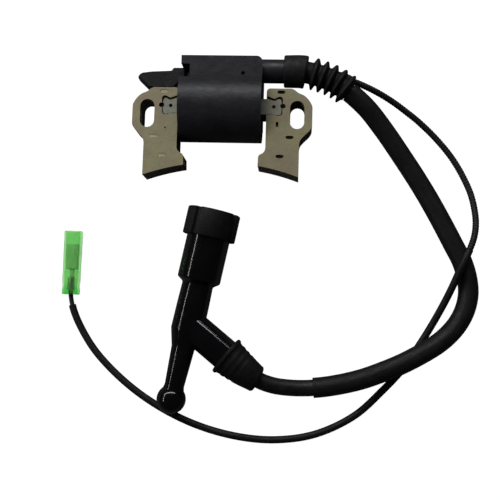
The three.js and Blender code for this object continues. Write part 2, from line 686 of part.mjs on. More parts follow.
// The sleeve is a wide flat pouch with a slanted blind end and a mouth that enters the recess.
const pouchOutline = [
  [mouthX, bladeY + sleeveHalf], [pouchStep, bladeY + sleeveHalf], [pouchStep - 0.7, bladeY + 1.8],
  [pouchBack + 1.6, bladeY + 0.6], [pouchBack + 0.4, bladeY], [pouchBack, bladeY - 1.2],
  [pouchBack + 0.1, bladeY - 2.3], [pouchBack + 5.1, pouchFloor + 0.4], [pouchBack + 5.9, pouchFloor],
  [-caseHalf - 3.8, pouchFloor], [-caseHalf - 0.9, bladeY - sleeveHalf - 1.3],
  [-caseHalf - 0.5, bladeY - sleeveHalf], [mouthX, bladeY - sleeveHalf],
];

// A polygon with each of its sides moved inwards.
function drawnIn(points, distance) {
  const count = points.length;
  const side = (i) => {
    const [a, b] = [points[i % count], points[(i + 1) % count]];
    const long = Math.hypot(b[0] - a[0], b[1] - a[1]);
    const normal = [-(b[1] - a[1]) / long, (b[0] - a[0]) / long];
    return { normal, offset: normal[0] * a[0] + normal[1] * a[1] + distance };
  };
  return points.map((_, i) => {
    const [p, q] = [side(i + count - 1), side(i)];
    const cross = p.normal[0] * q.normal[1] - p.normal[1] * q.normal[0];
    return [
      (p.offset * q.normal[1] - q.offset * p.normal[1]) / cross,
      (q.offset * p.normal[0] - p.offset * q.normal[0]) / cross];
  });
}

const polygon = (points) => new THREE.Shape(points.map(([x, y]) => new THREE.Vector2(x, y)));
const sleeveLow = bladeZ - sleeveThickness / 2;
const sleeveHigh = bladeZ + sleeveThickness / 2;
const pouchLow = bladeZ - receptacleHigh - fit;
const pouchHigh = bladeZ + receptacleHigh + fit;
piece('terminal_sleeve', cut(
  slab(polygon(pouchOutline), sleeveLow, sleeveHigh),
  slab(polygon(drawnIn(pouchOutline, sleeveWall)), pouchLow, pouchHigh),
  block([receptacleStart - fit, bladeY - receptacleHalf - fit, pouchLow],
    [mouthX + 1, bladeY + receptacleHalf + fit, pouchHigh]),
  rod(wireRadius + 0.6, [...wireExit, sleeveLow - 1], [...wireExit, bladeZ - receptacleHigh], 12),
), material(0x1b1b1c, 0.75));

// ---------- stop lead behind the coil ----------
const rearWireZ = wireRadius + 0.45;
const rearRoute = [
  [...wireExit, bladeZ - receptacleHigh - fit], [...wireExit, 12.5],
  [wireExit[0] + 0.6, wireExit[1] + 0.6, 7.5], [wireExit[0] + 4, wireExit[1] + 1.8, 3.2],
  [-caseHalf - 5, leadTroughY - 0.3, rearWireZ], [-caseHalf + 2, leadTroughY, rearWireZ],
  [0, leadTroughY, rearWireZ], [caseHalf - 1, leadTroughY, rearWireZ],
  [neckStart[0] + 1, leadTroughY - 0.1, 2.8], [28.5, 23.9, 6.4], [32.2, 23.7, 8.7],
];
const rearCord = new Route(rearRoute, 4);
piece('stop_lead_rear', tube(rearCord, 0, rearCord.length - wireJoin, wireRadius, 0, 8), material(0x141415, 0.6));

// ---------- grommet ----------
const ribs = Array.from({ length: ribCount }, (_, k) => firstRib + k * ribPitch);
const ribFoot = 1.5;
const ribTip = 0.4;
const grommetOuter = [
  [collarStart, 0], [collarStart, collarRadius - 0.4], [collarStart + 0.8, collarRadius],
  [collarStart + collarLength - 1, collarRadius], [collarStart + collarLength, collarRadius - 0.6],
  [collarStart + collarLength, ribValley - 0.2],
];
ribs.forEach((at) => {
  grommetOuter.push([at - ribFoot, ribValley], [at - ribTip, ribRadius]);
  grommetOuter.push([at + ribTip, ribRadius], [at + ribFoot, ribValley]);
});
grommetOuter.push([grommetEnd, ribValley], [grommetEnd, 0]);
const grommetBore = [
  [collarStart - 1, 0], [collarStart - 1, neckRadius + fit], [neckEnd + fit, neckRadius + fit],
  [neckEnd + fit, leadRadius + fit], [grommetEnd + 1, leadRadius + fit], [grommetEnd + 1, 0],
];
const wireBoreRadius = wireRadius + fit;
const wireInGrommet = grommetEnd - wireLead; // the stop lead's stretch inside the grommet
const bossRadius = wireBoreRadius + wireCover;
const rearEnd = rearRoute[rearRoute.length - 1];
const entryBoss = tube(rearCord, rearCord.length - 3, rearCord.length, bossRadius, 0, 12);
const entryTurn = rod(bossRadius, rearEnd, [stopRoute[0][0] + 1, stopRoute[0][1], stopRoute[0][2]], 12);
piece('grommet_boot', cut(
  join(bent(grommetOuter, htCord), tube(stopCord, 0, wireInGrommet, bossRadius, 0, 12), entryBoss, entryTurn),
  bent(grommetBore, htCord),
  tube(stopCord, 0, wireInGrommet + 4, wireBoreRadius, 0, 8),
  tube(rearCord, rearCord.length - 8, rearCord.length, wireBoreRadius, 0, 8),
  rod(wireBoreRadius + 0.2, [rearEnd[0] - 0.6, rearEnd[1], rearEnd[2] - 0.3],
    [stopRoute[0][0] + 1, stopRoute[0][1], stopRoute[0][2]], 12),
), rubberBlack());

// ---------- high-tension lead and its protective sleeve ----------
piece('ht_lead', tube(htCord, 0, htCord.length, leadRadius, 0, 12), rubberBlack());
piece('ht_sleeve', tube(htCord, grommetEnd + fit, htCord.length - htBare, htSleeveRadius, htSleeveBore, 12), material(0x121213, 0.6));

// ---------- stop lead and its sleeves ----------
const stopEnd = stopCord.length;
const upperSleeve = [wireInGrommet + 1, 146];
const lowerSleeve = [upperSleeve[1] + fit, stopEnd - 12.5];
piece('stop_lead', tube(stopCord, wireJoin, stopEnd, wireRadius, 0, 8), material(0x141415, 0.6));
piece('stop_sleeve_upper', tube(stopCord, ...upperSleeve, upperSleeveRadius, wireSleeveBore, 8), material(0x161617, 0.6));
piece('stop_sleeve_lower', tube(stopCord, ...lowerSleeve, lowerSleeveRadius, wireSleeveBore, 8), material(0x131314, 0.6));

// ---------- stop connector ----------
const wireTip = stopRoute[stopRoute.length - 1];
const coverCrimp = 5.2;
const crimpY = wireTip[1] - coverCrimp;
const coverStart = crimpY - connectorEnd;
const shellX = wireTip[0];
const shellZ = wireTip[2];

function roundedPlate(width, height, radius) {
  const shape = new THREE.Shape();
  const [x, y] = [width / 2 - radius, height / 2 - radius];
  shape.absarc(x, y, radius, 0, Math.PI / 2, false);
  shape.absarc(-x, y, radius, Math.PI / 2, Math.PI, false);
  shape.absarc(-x, -y, radius, Math.PI, 1.5 * Math.PI, false);
  shape.absarc(x, -y, radius, 1.5 * Math.PI, 2 * Math.PI, false);
  return shape;
}

// A shape whose own axes are X and Z, run along Y from one place to another.
function alongY(shape, from, to) {
  const turn = new THREE.Matrix4().makeBasis(
    new THREE.Vector3(-1, 0, 0), new THREE.Vector3(0, 0, 1), new THREE.Vector3(0, 1, 0));
  return slab(shape, from, to, 6).applyMatrix4(turn).translate(shellX, 0, shellZ);
}

piece('connector_cover', cut(
  alongY(roundedPlate(connectorWidth, connectorThickness, 2.6), coverStart, coverStart + connectorLength),
  alongY(roundedPlate(connectorWidth - 2 * connectorWall, connectorThickness - 2 * connectorWall, 2),
    coverStart - 1, coverStart + connectorLength + 1)), material(0x5fbf6e, 0.3));

const socketLow = [shellX - 2.9, wireTip[1] + 5.5, shellZ - 1.5];
const socketHigh = [shellX + 3.1, wireTip[1] + 18, shellZ + 1.5];
piece('connector_terminal', cut(
  join(
    rod(crimpBore + crimpWall, [shellX, crimpY, shellZ], [shellX, wireTip[1] + 1.2, shellZ], 12),
    block([shellX - 1.2, wireTip[1] + 0.8, shellZ - 1.4], [shellX + 1.2, wireTip[1] + 6.5, shellZ - 0.6]),
    block(socketLow, socketHigh)),
  rod(crimpBore, [shellX, crimpY - 1, shellZ], [shellX, wireTip[1] + fit, shellZ], 12),
  block([socketLow[0] + 0.7, socketLow[1] + 1, shellZ - 0.8], [socketHigh[0] - 0.7, socketHigh[1] + 1, shellZ + 0.8]),
), tinned());

// ---------- plug cap ----------
// The cap's own group stands at the crossing of stem and branch: +Z to the mouth, the branch in XZ.
const leadEnd = new THREE.Vector3(...htRoute[htRoute.length - 1]);
const branchWay = new THREE.Vector3(...htRoute[htRoute.length - 3]).sub(leadEnd).normalize();
const mouthWay = new THREE.Vector3(
  Math.sin(THREE.MathUtils.degToRad(capTurn)), Math.cos(THREE.MathUtils.degToRad(capTurn)), capSlope).normalize();
const acrossWay = branchWay.clone().addScaledVector(mouthWay, -branchWay.dot(mouthWay)).normalize();
capGroup.position.copy(leadEnd).addScaledVector(branchWay, -branchLap);
capGroup.quaternion.setFromRotationMatrix(
  new THREE.Matrix4().makeBasis(acrossWay, mouthWay.clone().cross(acrossWay), mouthWay));
const branch = [branchWay.dot(acrossWay), 0, branchWay.dot(mouthWay)];
const onBranch = (distance) => branch.map((value) => value * distance);

const shoulder = capMouth - capBodyLength;
const bodyMouth = capMouth - capSealRim;
const tailTop = -12;
const knobTop = tailTop - capTailLength;
const capProfile = [
  [bodyMouth, 0], [bodyMouth, capBodyRadius - 0.6], [bodyMouth - 0.6, capBodyRadius],
  [shoulder, capBodyRadius], [shoulder - 2.1, capStemRadius], [-3.4, capStemRadius + capStemFlare],
  [tailTop, capTailRoot], [knobTop, capTailTip], [knobTop - 1.4, capTailTip + 1.5],
  [knobTop - 3.6, capKnobRadius - 0.2], [knobTop - 6, capKnobRadius], [knobTop - 8.2, capKnobRadius - 0.9],
  [knobTop - 10, 4.6], [knobTop - capKnobLength, 2.2], [knobTop - capKnobLength - 0.2, 0],
].reverse();
const clipFloor = 31.6;
const clipRim = 43;
const resistorStart = 6.5;
const along = [0, 0, 1];
piece('cap_body', cut(
  join(turned(capProfile, [0, 0, 0], along, 24), rod(branchRadius, [0, 0, 0], onBranch(branchLength), 24)),
  rod(plugBore, [0, 0, clipRim], [0, 0, bodyMouth + 1], 20),
  rod(clipBore, [0, 0, clipFloor - 0.6], [0, 0, clipRim + 1], 20),
  rod(stemBore, [0, 0, -2], [0, 0, clipFloor], 16),
  rod(2.4, onBranch(-1), onBranch(branchLap), 12),
  rod(leadRadius + fit + 0.1, onBranch(branchLap - fit), onBranch(branchLength + 1), 20),
), material(0x0d0d0e, 0.2), capGroup);

// The seal is a collar with four finger grips, parted by grooves along it.
function sealSection() {
  const shape = new THREE.Shape();
  const grooves = 4;
  const first = THREE.MathUtils.degToRad(-50);
  const half = THREE.MathUtils.degToRad(6);
  const depth = 1.4;
  const lobeSteps = 6;
  for (let g = 0; g < grooves; g += 1) {
    const centre = first + (g * 2 * Math.PI) / grooves;
    const next = centre + (2 * Math.PI) / grooves;
    const put = (radius, angle) => {
      const [x, y] = [radius * Math.sin(angle), radius * Math.cos(angle)];
      if (g === 0 && angle === centre) shape.moveTo(x, y);
      else shape.lineTo(x, y);
    };
    put(capSealRadius - depth, centre);
    for (let i = 0; i <= lobeSteps; i += 1) {
      put(capSealRadius, centre + half + ((next - centre - 2 * half) * i) / lobeSteps);
    }
  }
  return shape;
}

piece('cap_plug_seal', cut(
  slab(sealSection(), capMouth - capSealLength, capMouth),
  rod(capBodyRadius + fit, [0, 0, capMouth - capSealLength - 1], [0, 0, bodyMouth + fit], 24),
  rod(plugBore - 1, [0, 0, bodyMouth - 1], [0, 0, capMouth + 1], 20),
), rubberBlack(), capGroup);

const clipOuter = clipBore - fit;
piece('cap_terminal_clip', turned([
  [clipFloor + 1, 0], [clipFloor + 1, clipOuter], [clipRim - 0.6, clipOuter], [clipRim - 0.6, clipOuter - 0.6],
  [clipFloor + 1.8, clipOuter - 0.6], [clipFloor + 1.8, 0]], [0, 0, 0], along, 16), brass(), capGroup);

const resistorEnd = resistorStart + 15;
piece('cap_resistor', rod(2.9, [0, 0, resistorStart], [0, 0, resistorEnd], 16), material(0xc9b48a, 0.5), capGroup);

class Helix extends THREE.Curve {
  constructor(radius, from, to, turns) {
    super();
    Object.assign(this, { radius, from, to, turns });
  }

  getPoint(t, target = new THREE.Vector3()) {
    const angle = t * this.turns * 2 * Math.PI;
    return target.set(
      this.radius * Math.cos(angle), this.radius * Math.sin(angle), this.from + t * (this.to - this.from));
  }
}

const springWire = 0.35;
const springTurns = 5;
const springPath = new Helix(2.6, resistorEnd + fit + springWire + 0.1, clipFloor + 1 - fit - springWire - 0.1, springTurns);
piece('cap_spring', new THREE.ExtrudeGeometry(
  ringShape(springWire, 0, 6), { extrudePath: springPath, steps: 10 * springTurns }), tinned(), capGroup);

piece('cap_cable_screw', join(
  rod(2, onBranch(-0.5), onBranch(1.5), 12),
  rod(1.2, onBranch(1), onBranch(branchLap - fit), 12)), brass(), capGroup);

// The cable seal is a tapered rubber cover, bent with the lead, with a lip at its wide end.
const sealFrom = htCord.length + branchLap - cableSealStart;
const sealTo = sealFrom - cableSealLength;
const taper = (share) => cableSealRoot - 0.6 + (cableSealTip - cableSealRoot + 0.6) * share;
const sealOuter = [[sealTo, 0], [sealTo, cableSealTip - 0.3], [sealTo + 0.6, cableSealTip]];
[0.8, 0.6, 0.4, 0.2].forEach((share) => {
  const at = sealFrom - cableSealLength * share;
  sealOuter.push([at - 0.9, taper(share) - 0.1], [at, taper(share) + 0.35]);
});
sealOuter.push([sealFrom - 2.4, taper(0.1)], [sealFrom - 1.9, cableSealRoot], [sealFrom, cableSealRoot], [sealFrom, 0]);
const sealLap = sealFrom - (branchLength - cableSealStart) - fit;
piece('cap_cable_seal', cut(
  bent(sealOuter, htCord),
  bent([[sealTo - 1, 0], [sealTo - 1, leadRadius + fit], [sealLap, leadRadius + fit],
    [sealLap, branchRadius + fit], [sealFrom + 1, branchRadius + fit], [sealFrom + 1, 0]], htCord),
), material(0x171917, 0.75));

export default coilAssembly;
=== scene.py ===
import json
import math

import bmesh
import bpy
import numpy as np
from mathutils import Matrix, Vector

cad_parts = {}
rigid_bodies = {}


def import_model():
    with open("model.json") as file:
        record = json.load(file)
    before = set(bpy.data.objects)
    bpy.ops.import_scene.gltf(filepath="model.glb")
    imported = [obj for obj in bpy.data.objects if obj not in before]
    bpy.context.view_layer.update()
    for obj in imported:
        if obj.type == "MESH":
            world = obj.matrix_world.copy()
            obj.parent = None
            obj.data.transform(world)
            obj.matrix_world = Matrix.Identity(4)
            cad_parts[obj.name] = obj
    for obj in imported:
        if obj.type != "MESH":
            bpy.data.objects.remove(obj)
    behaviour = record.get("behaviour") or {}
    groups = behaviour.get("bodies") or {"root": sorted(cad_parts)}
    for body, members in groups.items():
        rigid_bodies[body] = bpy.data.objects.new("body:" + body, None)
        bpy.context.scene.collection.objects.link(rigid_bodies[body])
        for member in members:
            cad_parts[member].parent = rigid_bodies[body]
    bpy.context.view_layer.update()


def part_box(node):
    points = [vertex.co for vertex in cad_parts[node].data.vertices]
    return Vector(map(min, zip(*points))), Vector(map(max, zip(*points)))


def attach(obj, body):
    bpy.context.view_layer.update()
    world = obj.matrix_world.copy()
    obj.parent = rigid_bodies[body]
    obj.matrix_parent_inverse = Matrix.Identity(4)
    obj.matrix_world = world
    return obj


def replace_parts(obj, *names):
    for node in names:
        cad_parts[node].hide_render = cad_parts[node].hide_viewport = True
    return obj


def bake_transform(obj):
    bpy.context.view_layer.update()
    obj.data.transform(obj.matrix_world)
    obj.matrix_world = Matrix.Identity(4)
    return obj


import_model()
MM = 0.001


# ---------- Camera and studio ----------
# The coil lies on a white table and is seen from almost straight above, a little from the plug
# cap's side and from the right. A long, low light stands beyond the coil and a thin one at its left,
# which draw lines along what is glossy. A soft light overhead isn't mirrored in anything.
camera_data = bpy.data.cameras.new("camera")
camera_data.lens = 61.2
camera_data.sensor_width = 36
camera_data.clip_end = 20
camera = bpy.data.objects.new("camera", camera_data)
camera.location = (0.03844, -0.10879, 0.425)
camera.rotation_euler = [math.radians(turn) for turn in (6.177, 3.080, 1.658)]
bpy.context.scene.collection.objects.link(camera)
bpy.context.scene.camera = camera
bpy.context.scene.view_settings.view_transform = "Standard"


def area_light(name, place, target, size, power, colour=(1, 1, 1), mirrored=True):
    data = bpy.data.lights.new(name, "AREA")
    data.shape = "RECTANGLE"
    data.size, data.size_y = size
    data.energy = power
    data.color = colour
    light = bpy.data.objects.new(name, data)
    light.location = place
    light.rotation_euler = (Vector(target) - Vector(place)).to_track_quat("-Z", "Y").to_euler()
    light.visible_glossy = mirrored
    bpy.context.scene.collection.objects.link(light)


centre = (0.02, -0.06, 0)
area_light("far_strip", (-0.10, 0.70, 0.60), centre, (1.5, 0.10), 5.2, (0.97, 0.98, 1))
area_light("left_strip", (-0.66, 0.04, 0.47), (-0.01, -0.07, 0), (0.8, 0.02), 1.0, (1, 0.99, 0.97))
area_light("top_fill", (-0.40, 0.34, 0.86), centre, (0.6, 0.6), 4.6, (1, 0.99, 0.96), False)

world = bpy.data.worlds.new("studio")
world.use_nodes = True
world.node_tree.nodes["Background"].inputs["Color"].default_value = (1, 1, 1, 1)
backdrop = world.node_tree.nodes.new("ShaderNodeMapRange")
backdrop.inputs["To Min"].default_value = 0.03
straight_on = world.node_tree.nodes.new("ShaderNodeLightPath").outputs["Is Camera Ray"]
world.node_tree.links.new(straight_on, backdrop.inputs["Value"])
world.node_tree.links.new(backdrop.outputs["Result"], world.node_tree.nodes["Background"].inputs["Strength"])
bpy.context.scene.world = world

floor_mesh = bpy.data.meshes.new("floor")
reach = 3.0
floor_mesh.from_pydata(
    [(-reach, -reach, -0.0002), (reach, -reach, -0.0002), (reach, reach, -0.0002), (-reach, reach, -0.0002)],
    [], [(0, 1, 2, 3)])
floor = bpy.data.objects.new("floor", floor_mesh)
bpy.context.scene.collection.objects.link(floor)
floor_paint = bpy.data.materials.new("floor_paint")
floor_paint.use_nodes = True
paper = floor_paint.node_tree.nodes["Principled BSDF"]
paper.inputs["Base Color"].default_value = (0.10, 0.10, 0.10, 1)
paper.inputs["Roughness"].default_value = 0.9
paper.inputs["Emission Color"].default_value = (1, 1, 1, 1)
rays = floor_paint.node_tree.nodes.new("ShaderNodeLightPath").outputs
seen = floor_paint.node_tree.nodes.new("ShaderNodeMath")
seen.operation = "MAXIMUM"
floor_paint.node_tree.links.new(rays["Is Camera Ray"], seen.inputs[0])
floor_paint.node_tree.links.new(rays["Is Transmission Ray"], seen.inputs[1])
floor_paint.node_tree.links.new(seen.outputs[0], paper.inputs["Emission Strength"])
floor_mesh.materials.append(floor_paint)


# ---------- High-tension lead ----------
# An 8 mm rubber-covered lead, straight out of the coil's neck, bent once round to the plug cap.
# It is extruded, so its skin has faint lines along it and a soft, broken gloss.
class Line:
    """A smooth curve through given points, in millimetres, that pieces are threaded on."""

    def __init__(self, points, spacing=0.5):
        p = np.array(points) / MM
        p = np.vstack([2 * p[0] - p[1], p, 2 * p[-1] - p[-2]])
        fine = []
        for i in range(1, len(p) - 2):
            fine.append(self.piece(*p[i - 1:i + 3]))
        fine = np.vstack(fine + [p[-2:-1]])
        reach = np.append(0, np.cumsum(np.linalg.norm(np.diff(fine, axis=0), axis=1)))
        self.length = reach[-1]
        self.at = np.linspace(0, self.length, int(self.length / spacing) + 1)
        self.places = np.array([np.interp(self.at, reach, fine[:, k]) for k in range(3)]).T
        ahead = np.gradient(self.places, axis=0)
        self.ahead = ahead / np.linalg.norm(ahead, axis=1)[:, None]

    @staticmethod
    def piece(p0, p1, p2, p3, count=40):
        """A centripetal curve from p1 to p2."""
        d = [max(math.sqrt(np.linalg.norm(b - a)), 1e-4) for a, b in ((p0, p1), (p1, p2), (p2, p3))]
        start = ((p1 - p0) / d[0] - (p2 - p0) / (d[0] + d[1]) + (p2 - p1) / d[1]) * d[1]
        end = ((p2 - p1) / d[1] - (p3 - p1) / (d[1] + d[2]) + (p3 - p2) / d[2]) * d[1]
        t = np.linspace(0, 1, count, endpoint=False)[:, None]
        return ((2 * t**3 - 3 * t**2 + 1) * p1 + (t**3 - 2 * t**2 + t) * start
                + (-2 * t**3 + 3 * t**2) * p2 + (t**3 - t**2) * end)

    def frame_at(self, length):
        """The centre and the sideways and upward directions at a length along the line."""
        centre = np.array([np.interp(length, self.at, self.places[:, k]) for k in range(3)])
        ahead = np.array([np.interp(length, self.at, self.ahead[:, k]) for k in range(3)])
        side = np.cross((0, 0, 1), ahead)
        side /= np.linalg.norm(side)
        up = np.cross(ahead, side)
        return centre, side, up / np.linalg.norm(up)

    def stretch(self, start, end, spacing=3.0):
        """Points in metres along part of the line."""
        count = max(2, int((end - start) / spacing))
        return [tuple(self.frame_at(s)[0] * MM) for s in np.linspace(start, end, count)]


def finished_mesh(name, points, faces, uv=None, sharp=35):
    """A mesh object from points in millimetres, smooth but for edges sharper than an angle."""
    mesh = bpy.data.meshes.new(name)
    mesh.from_pydata([tuple(np.array(p) * MM) for p in points], [], faces)
    if uv is not None:
        layer = mesh.uv_layers.new(name="along")
        for loop in mesh.loops:
            layer.data[loop.index].uv = uv[loop.vertex_index]
    work = bmesh.new()
    work.from_mesh(mesh)
    bmesh.ops.remove_doubles(work, verts=work.verts, dist=1e-7)
    bmesh.ops.recalc_face_normals(work, faces=work.faces)
    work.to_mesh(mesh)
    work.free()
    mesh.shade_smooth()
    mesh.set_sharp_from_angle(angle=math.radians(sharp))
    piece = bpy.data.objects.new(name, mesh)
    bpy.context.scene.collection.objects.link(piece)
    return piece


def rounded(points, radius, steps=4):
    """An outline with the corners between its ends rounded off by up to a radius."""
    points = [np.array(p, float) for p in points]
    result = [points[0]]
    for before, corner, after in zip(points, points[1:], points[2:]):
        back, on = before - corner, after - corner
        cut = min(radius, 0.45 * np.linalg.norm(back), 0.45 * np.linalg.norm(on))
        first = corner + back / np.linalg.norm(back) * cut
        last = corner + on / np.linalg.norm(on) * cut
        for i in range(steps + 1):
            t = i / steps
            result.append((1 - t)**2 * first + 2 * t * (1 - t) * corner + t * t * last)
    return result + [points[-1]]


def swept(name, line, outline, sides=40, spacing=1.2, sharp=35):
    """A round piece on a line: its outline is [length along the line, radius] from axis to axis."""
    fine = [np.array(outline[0], float)]
    for a, b in zip(outline, outline[1:]):
        parts = max(1, int(abs(b[0] - a[0]) / spacing))
        fine += [np.array(a) + (np.array(b) - np.array(a)) * (i + 1) / parts for i in range(parts)]
    points, uv, faces = [], [], []
    run = 0.0
    for k, (length, radius) in enumerate(fine):
        centre, side, up = line.frame_at(length)
        run += 0 if k == 0 else float(np.linalg.norm(fine[k] - fine[k - 1]))
        for j in range(sides + 1):
            turn = 2 * math.pi * (j / sides) - math.pi / 2
            points.append(centre + radius * (math.cos(turn) * side + math.sin(turn) * up))
            uv.append((j / sides, run * 0.1))
    row = sides + 1
    for k in range(len(fine) - 1):
        for j in range(sides):
            faces.append((k * row + j, k * row + j + 1, (k + 1) * row + j + 1, (k + 1) * row + j))
    return finished_mesh(name, points, faces, uv, sharp)


class Finish:
    """A material being made: colour, roughness and height each build on what was laid before."""

    def __init__(self, name, colour, roughness, **sockets):
        self.material = bpy.data.materials.new(name)
        self.material.use_nodes = True
        self.tree = self.material.node_tree
        self.shader = self.tree.nodes["Principled BSDF"]
        self.shader.inputs["Base Color"].default_value = (*colour, 1)
        self.shader.inputs["Roughness"].default_value = roughness
        for socket, value in sockets.items():
            self.shader.inputs[socket.replace("_", " ")].default_value = value
        self.laid = {"Base Color": (*colour, 1), "Roughness": roughness, "Normal": None}

    def node(self, kind, inputs=(), **settings):
        made = self.tree.nodes.new(kind)
        for name, value in settings.items():
            setattr(made, name, value)
        for key, value in dict(inputs).items():
            if isinstance(value, bpy.types.NodeSocket):
                self.tree.links.new(value, made.inputs[key])
            else:
                made.inputs[key].default_value = value
        return made

    def place(self, stretch=(1, 1, 1), source="Object"):
        coordinate = self.node("ShaderNodeTexCoord").outputs[source]
        return self.node("ShaderNodeMapping", {"Vector": coordinate, "Scale": stretch}).outputs["Vector"]

    def noise(self, size, detail=3, stretch=(1, 1, 1), source="Object", low=0.35, high=0.65):
        """Noise whose blots are about a size in millimetres, between 0 and 1."""
        scale = 1 / (size * MM) if source == "Object" else size
        made = self.node("ShaderNodeTexNoise", {
            "Vector": self.place(stretch, source), "Scale": scale, "Detail": detail})
        return self.node("ShaderNodeMapRange", {
            "Value": made.outputs["Fac"], "From Min": low, "From Max": high}).outputs["Result"]

    def edges(self, radius, low=0.02, high=0.25):
        """Near 1 on rounded edges and corners within a radius in millimetres."""
        soft = self.node("ShaderNodeBevel", {"Radius": radius * MM}, samples=4).outputs["Normal"]
        true = self.node("ShaderNodeNewGeometry").outputs["Normal"]
        dot = self.node("ShaderNodeVectorMath", {0: soft, 1: true}, operation="DOT_PRODUCT")
        return self.node("ShaderNodeMapRange", {
            "Value": dot.outputs["Value"], "From Min": 1 - low, "From Max": 1 - high}).outputs["Result"]

    def times(self, a, b):
        return self.node("ShaderNodeMath", {0: a, 1: b}, operation="MULTIPLY").outputs[0]

    def tint(self, amount, colour, strength=1.0):
        share = self.times(amount, strength)
        mix = self.node("ShaderNodeMix", {
            0: share, 6: self.laid["Base Color"], 7: (*colour, 1)}, data_type="RGBA")
        self.lay("Base Color", mix.outputs[2])
        return self

    def rough(self, amount, value, strength=1.0):
        share = self.times(amount, strength)
        mix = self.node("ShaderNodeMix", {0: share, 2: self.laid["Roughness"], 3: value}, data_type="FLOAT")
        self.lay("Roughness", mix.outputs[0])
        return self

    def bump(self, height, depth, strength=1.0):
        """Height between 0 and 1 raises the surface by a depth in millimetres."""
        inputs = {"Height": height, "Distance": depth * MM, "Strength": strength}
        if self.laid["Normal"] is not None:
            inputs["Normal"] = self.laid["Normal"]
        self.lay("Normal", self.node("ShaderNodeBump", inputs).outputs["Normal"])
        return self

    def lay(self, socket, output):
        self.laid[socket] = output
        self.tree.links.new(output, self.shader.inputs[socket])


def dress(piece, finish, body="coil"):
    """Gives a piece its material and its body."""
    piece.data.materials.clear()
    piece.data.materials.append(finish.material)
    if body:
        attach(piece, body)
    return piece


ht_line = Line([
    (0.0232, 0.0237, 0.017), (0.0310, 0.0237, 0.017), (0.0385, 0.02365, 0.017), (0.0446, 0.0225, 0.0169),
    (0.0485, 0.0213, 0.0168), (0.0525, 0.0198, 0.0166), (0.0563, 0.0179, 0.0164), (0.0599, 0.0155, 0.0161),
    (0.0661, 0.0106, 0.015), (0.0716, 0.0057, 0.0132), (0.0806, -0.0049, 0.0099), (0.0880, -0.0149, 0.0076),
    (0.0952, -0.0252, 0.006), (0.1019, -0.0358, 0.0052), (0.1083, -0.0472, 0.0051), (0.1147, -0.0594, 0.0051),
    (0.1188, -0.0674, 0.0051), (0.1212, -0.0756, 0.0051), (0.1218, -0.0830, 0.0051), (0.1204, -0.0902, 0.0052),
    (0.1172, -0.0969, 0.0056), (0.1126, -0.1026, 0.0067), (0.1070, -0.1075, 0.0078), (0.0992, -0.1125, 0.0092),
    (0.0895, -0.1178, 0.0097), (0.0815, -0.1214, 0.0097), (0.0713, -0.1254, 0.0091), (0.0620, -0.1281, 0.0076),
    (0.0516, -0.1302, 0.006), (0.0430, -0.1310, 0.0057), (0.0348, -0.1309, 0.007), (0.0278, -0.1300, 0.0087),
    (0.0214, -0.1279, 0.0104), (0.0156, -0.1244, 0.0115), (0.0096, -0.1200, 0.0118), (0.0025, -0.1144, 0.0118),
    (-0.0043, -0.1090, 0.0118),
])
lead_radius = 4.0
lead_finish = Finish("lead_rubber", (0.004, 0.004, 0.0048), 0.36, Specular_IOR_Level=0.45)
lead_finish.tint(lead_finish.noise(6), (0.012, 0.012, 0.014), 0.7)
lead_finish.rough(lead_finish.noise(3.5), 0.58)
lead_finish.bump(lead_finish.noise(1, 2, (26, 1.2, 1), "UV"), 0.05)
lead_finish.bump(lead_finish.noise(0.25), 0.02)
ht_lead = swept("ht_lead_skin", ht_line, rounded(
    [(0, 0), (0, lead_radius), (ht_line.length, lead_radius), (ht_line.length, 0)], 0.3))
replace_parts(dress(ht_lead, lead_finish), "ht_lead")


# ---------- Protective sleeve on the high-tension lead ----------
# A loose, matt vinyl tube slid over most of the lead, cut off square at both ends.
sleeve_start, sleeve_end = 40.9, 253.0
sleeve_bore, sleeve_radius = 4.4, 4.93
vinyl = Finish("sleeve_vinyl", (0.004, 0.004, 0.0044), 0.46, Specular_IOR_Level=0.35)
vinyl.tint(vinyl.noise(8), (0.008, 0.008, 0.0088), 0.8)
vinyl.tint(vinyl.noise(0.35, 2, low=0.62, high=0.72), (0.03, 0.03, 0.032), 0.5)
vinyl.rough(vinyl.noise(2.5), 0.6)
vinyl.bump(vinyl.noise(1, 2, (18, 0.8, 1), "UV"), 0.06)
vinyl.bump(vinyl.noise(0.5), 0.03)
ht_sleeve = swept("ht_sleeve_skin", ht_line, rounded([
    (sleeve_start + 1, sleeve_bore), (sleeve_start, sleeve_bore), (sleeve_start, sleeve_radius),
    (sleeve_end, sleeve_radius), (sleeve_end, sleeve_bore), (sleeve_start + 1, sleeve_bore)], 0.12, 2))
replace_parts(dress(ht_sleeve, vinyl), "ht_sleeve")


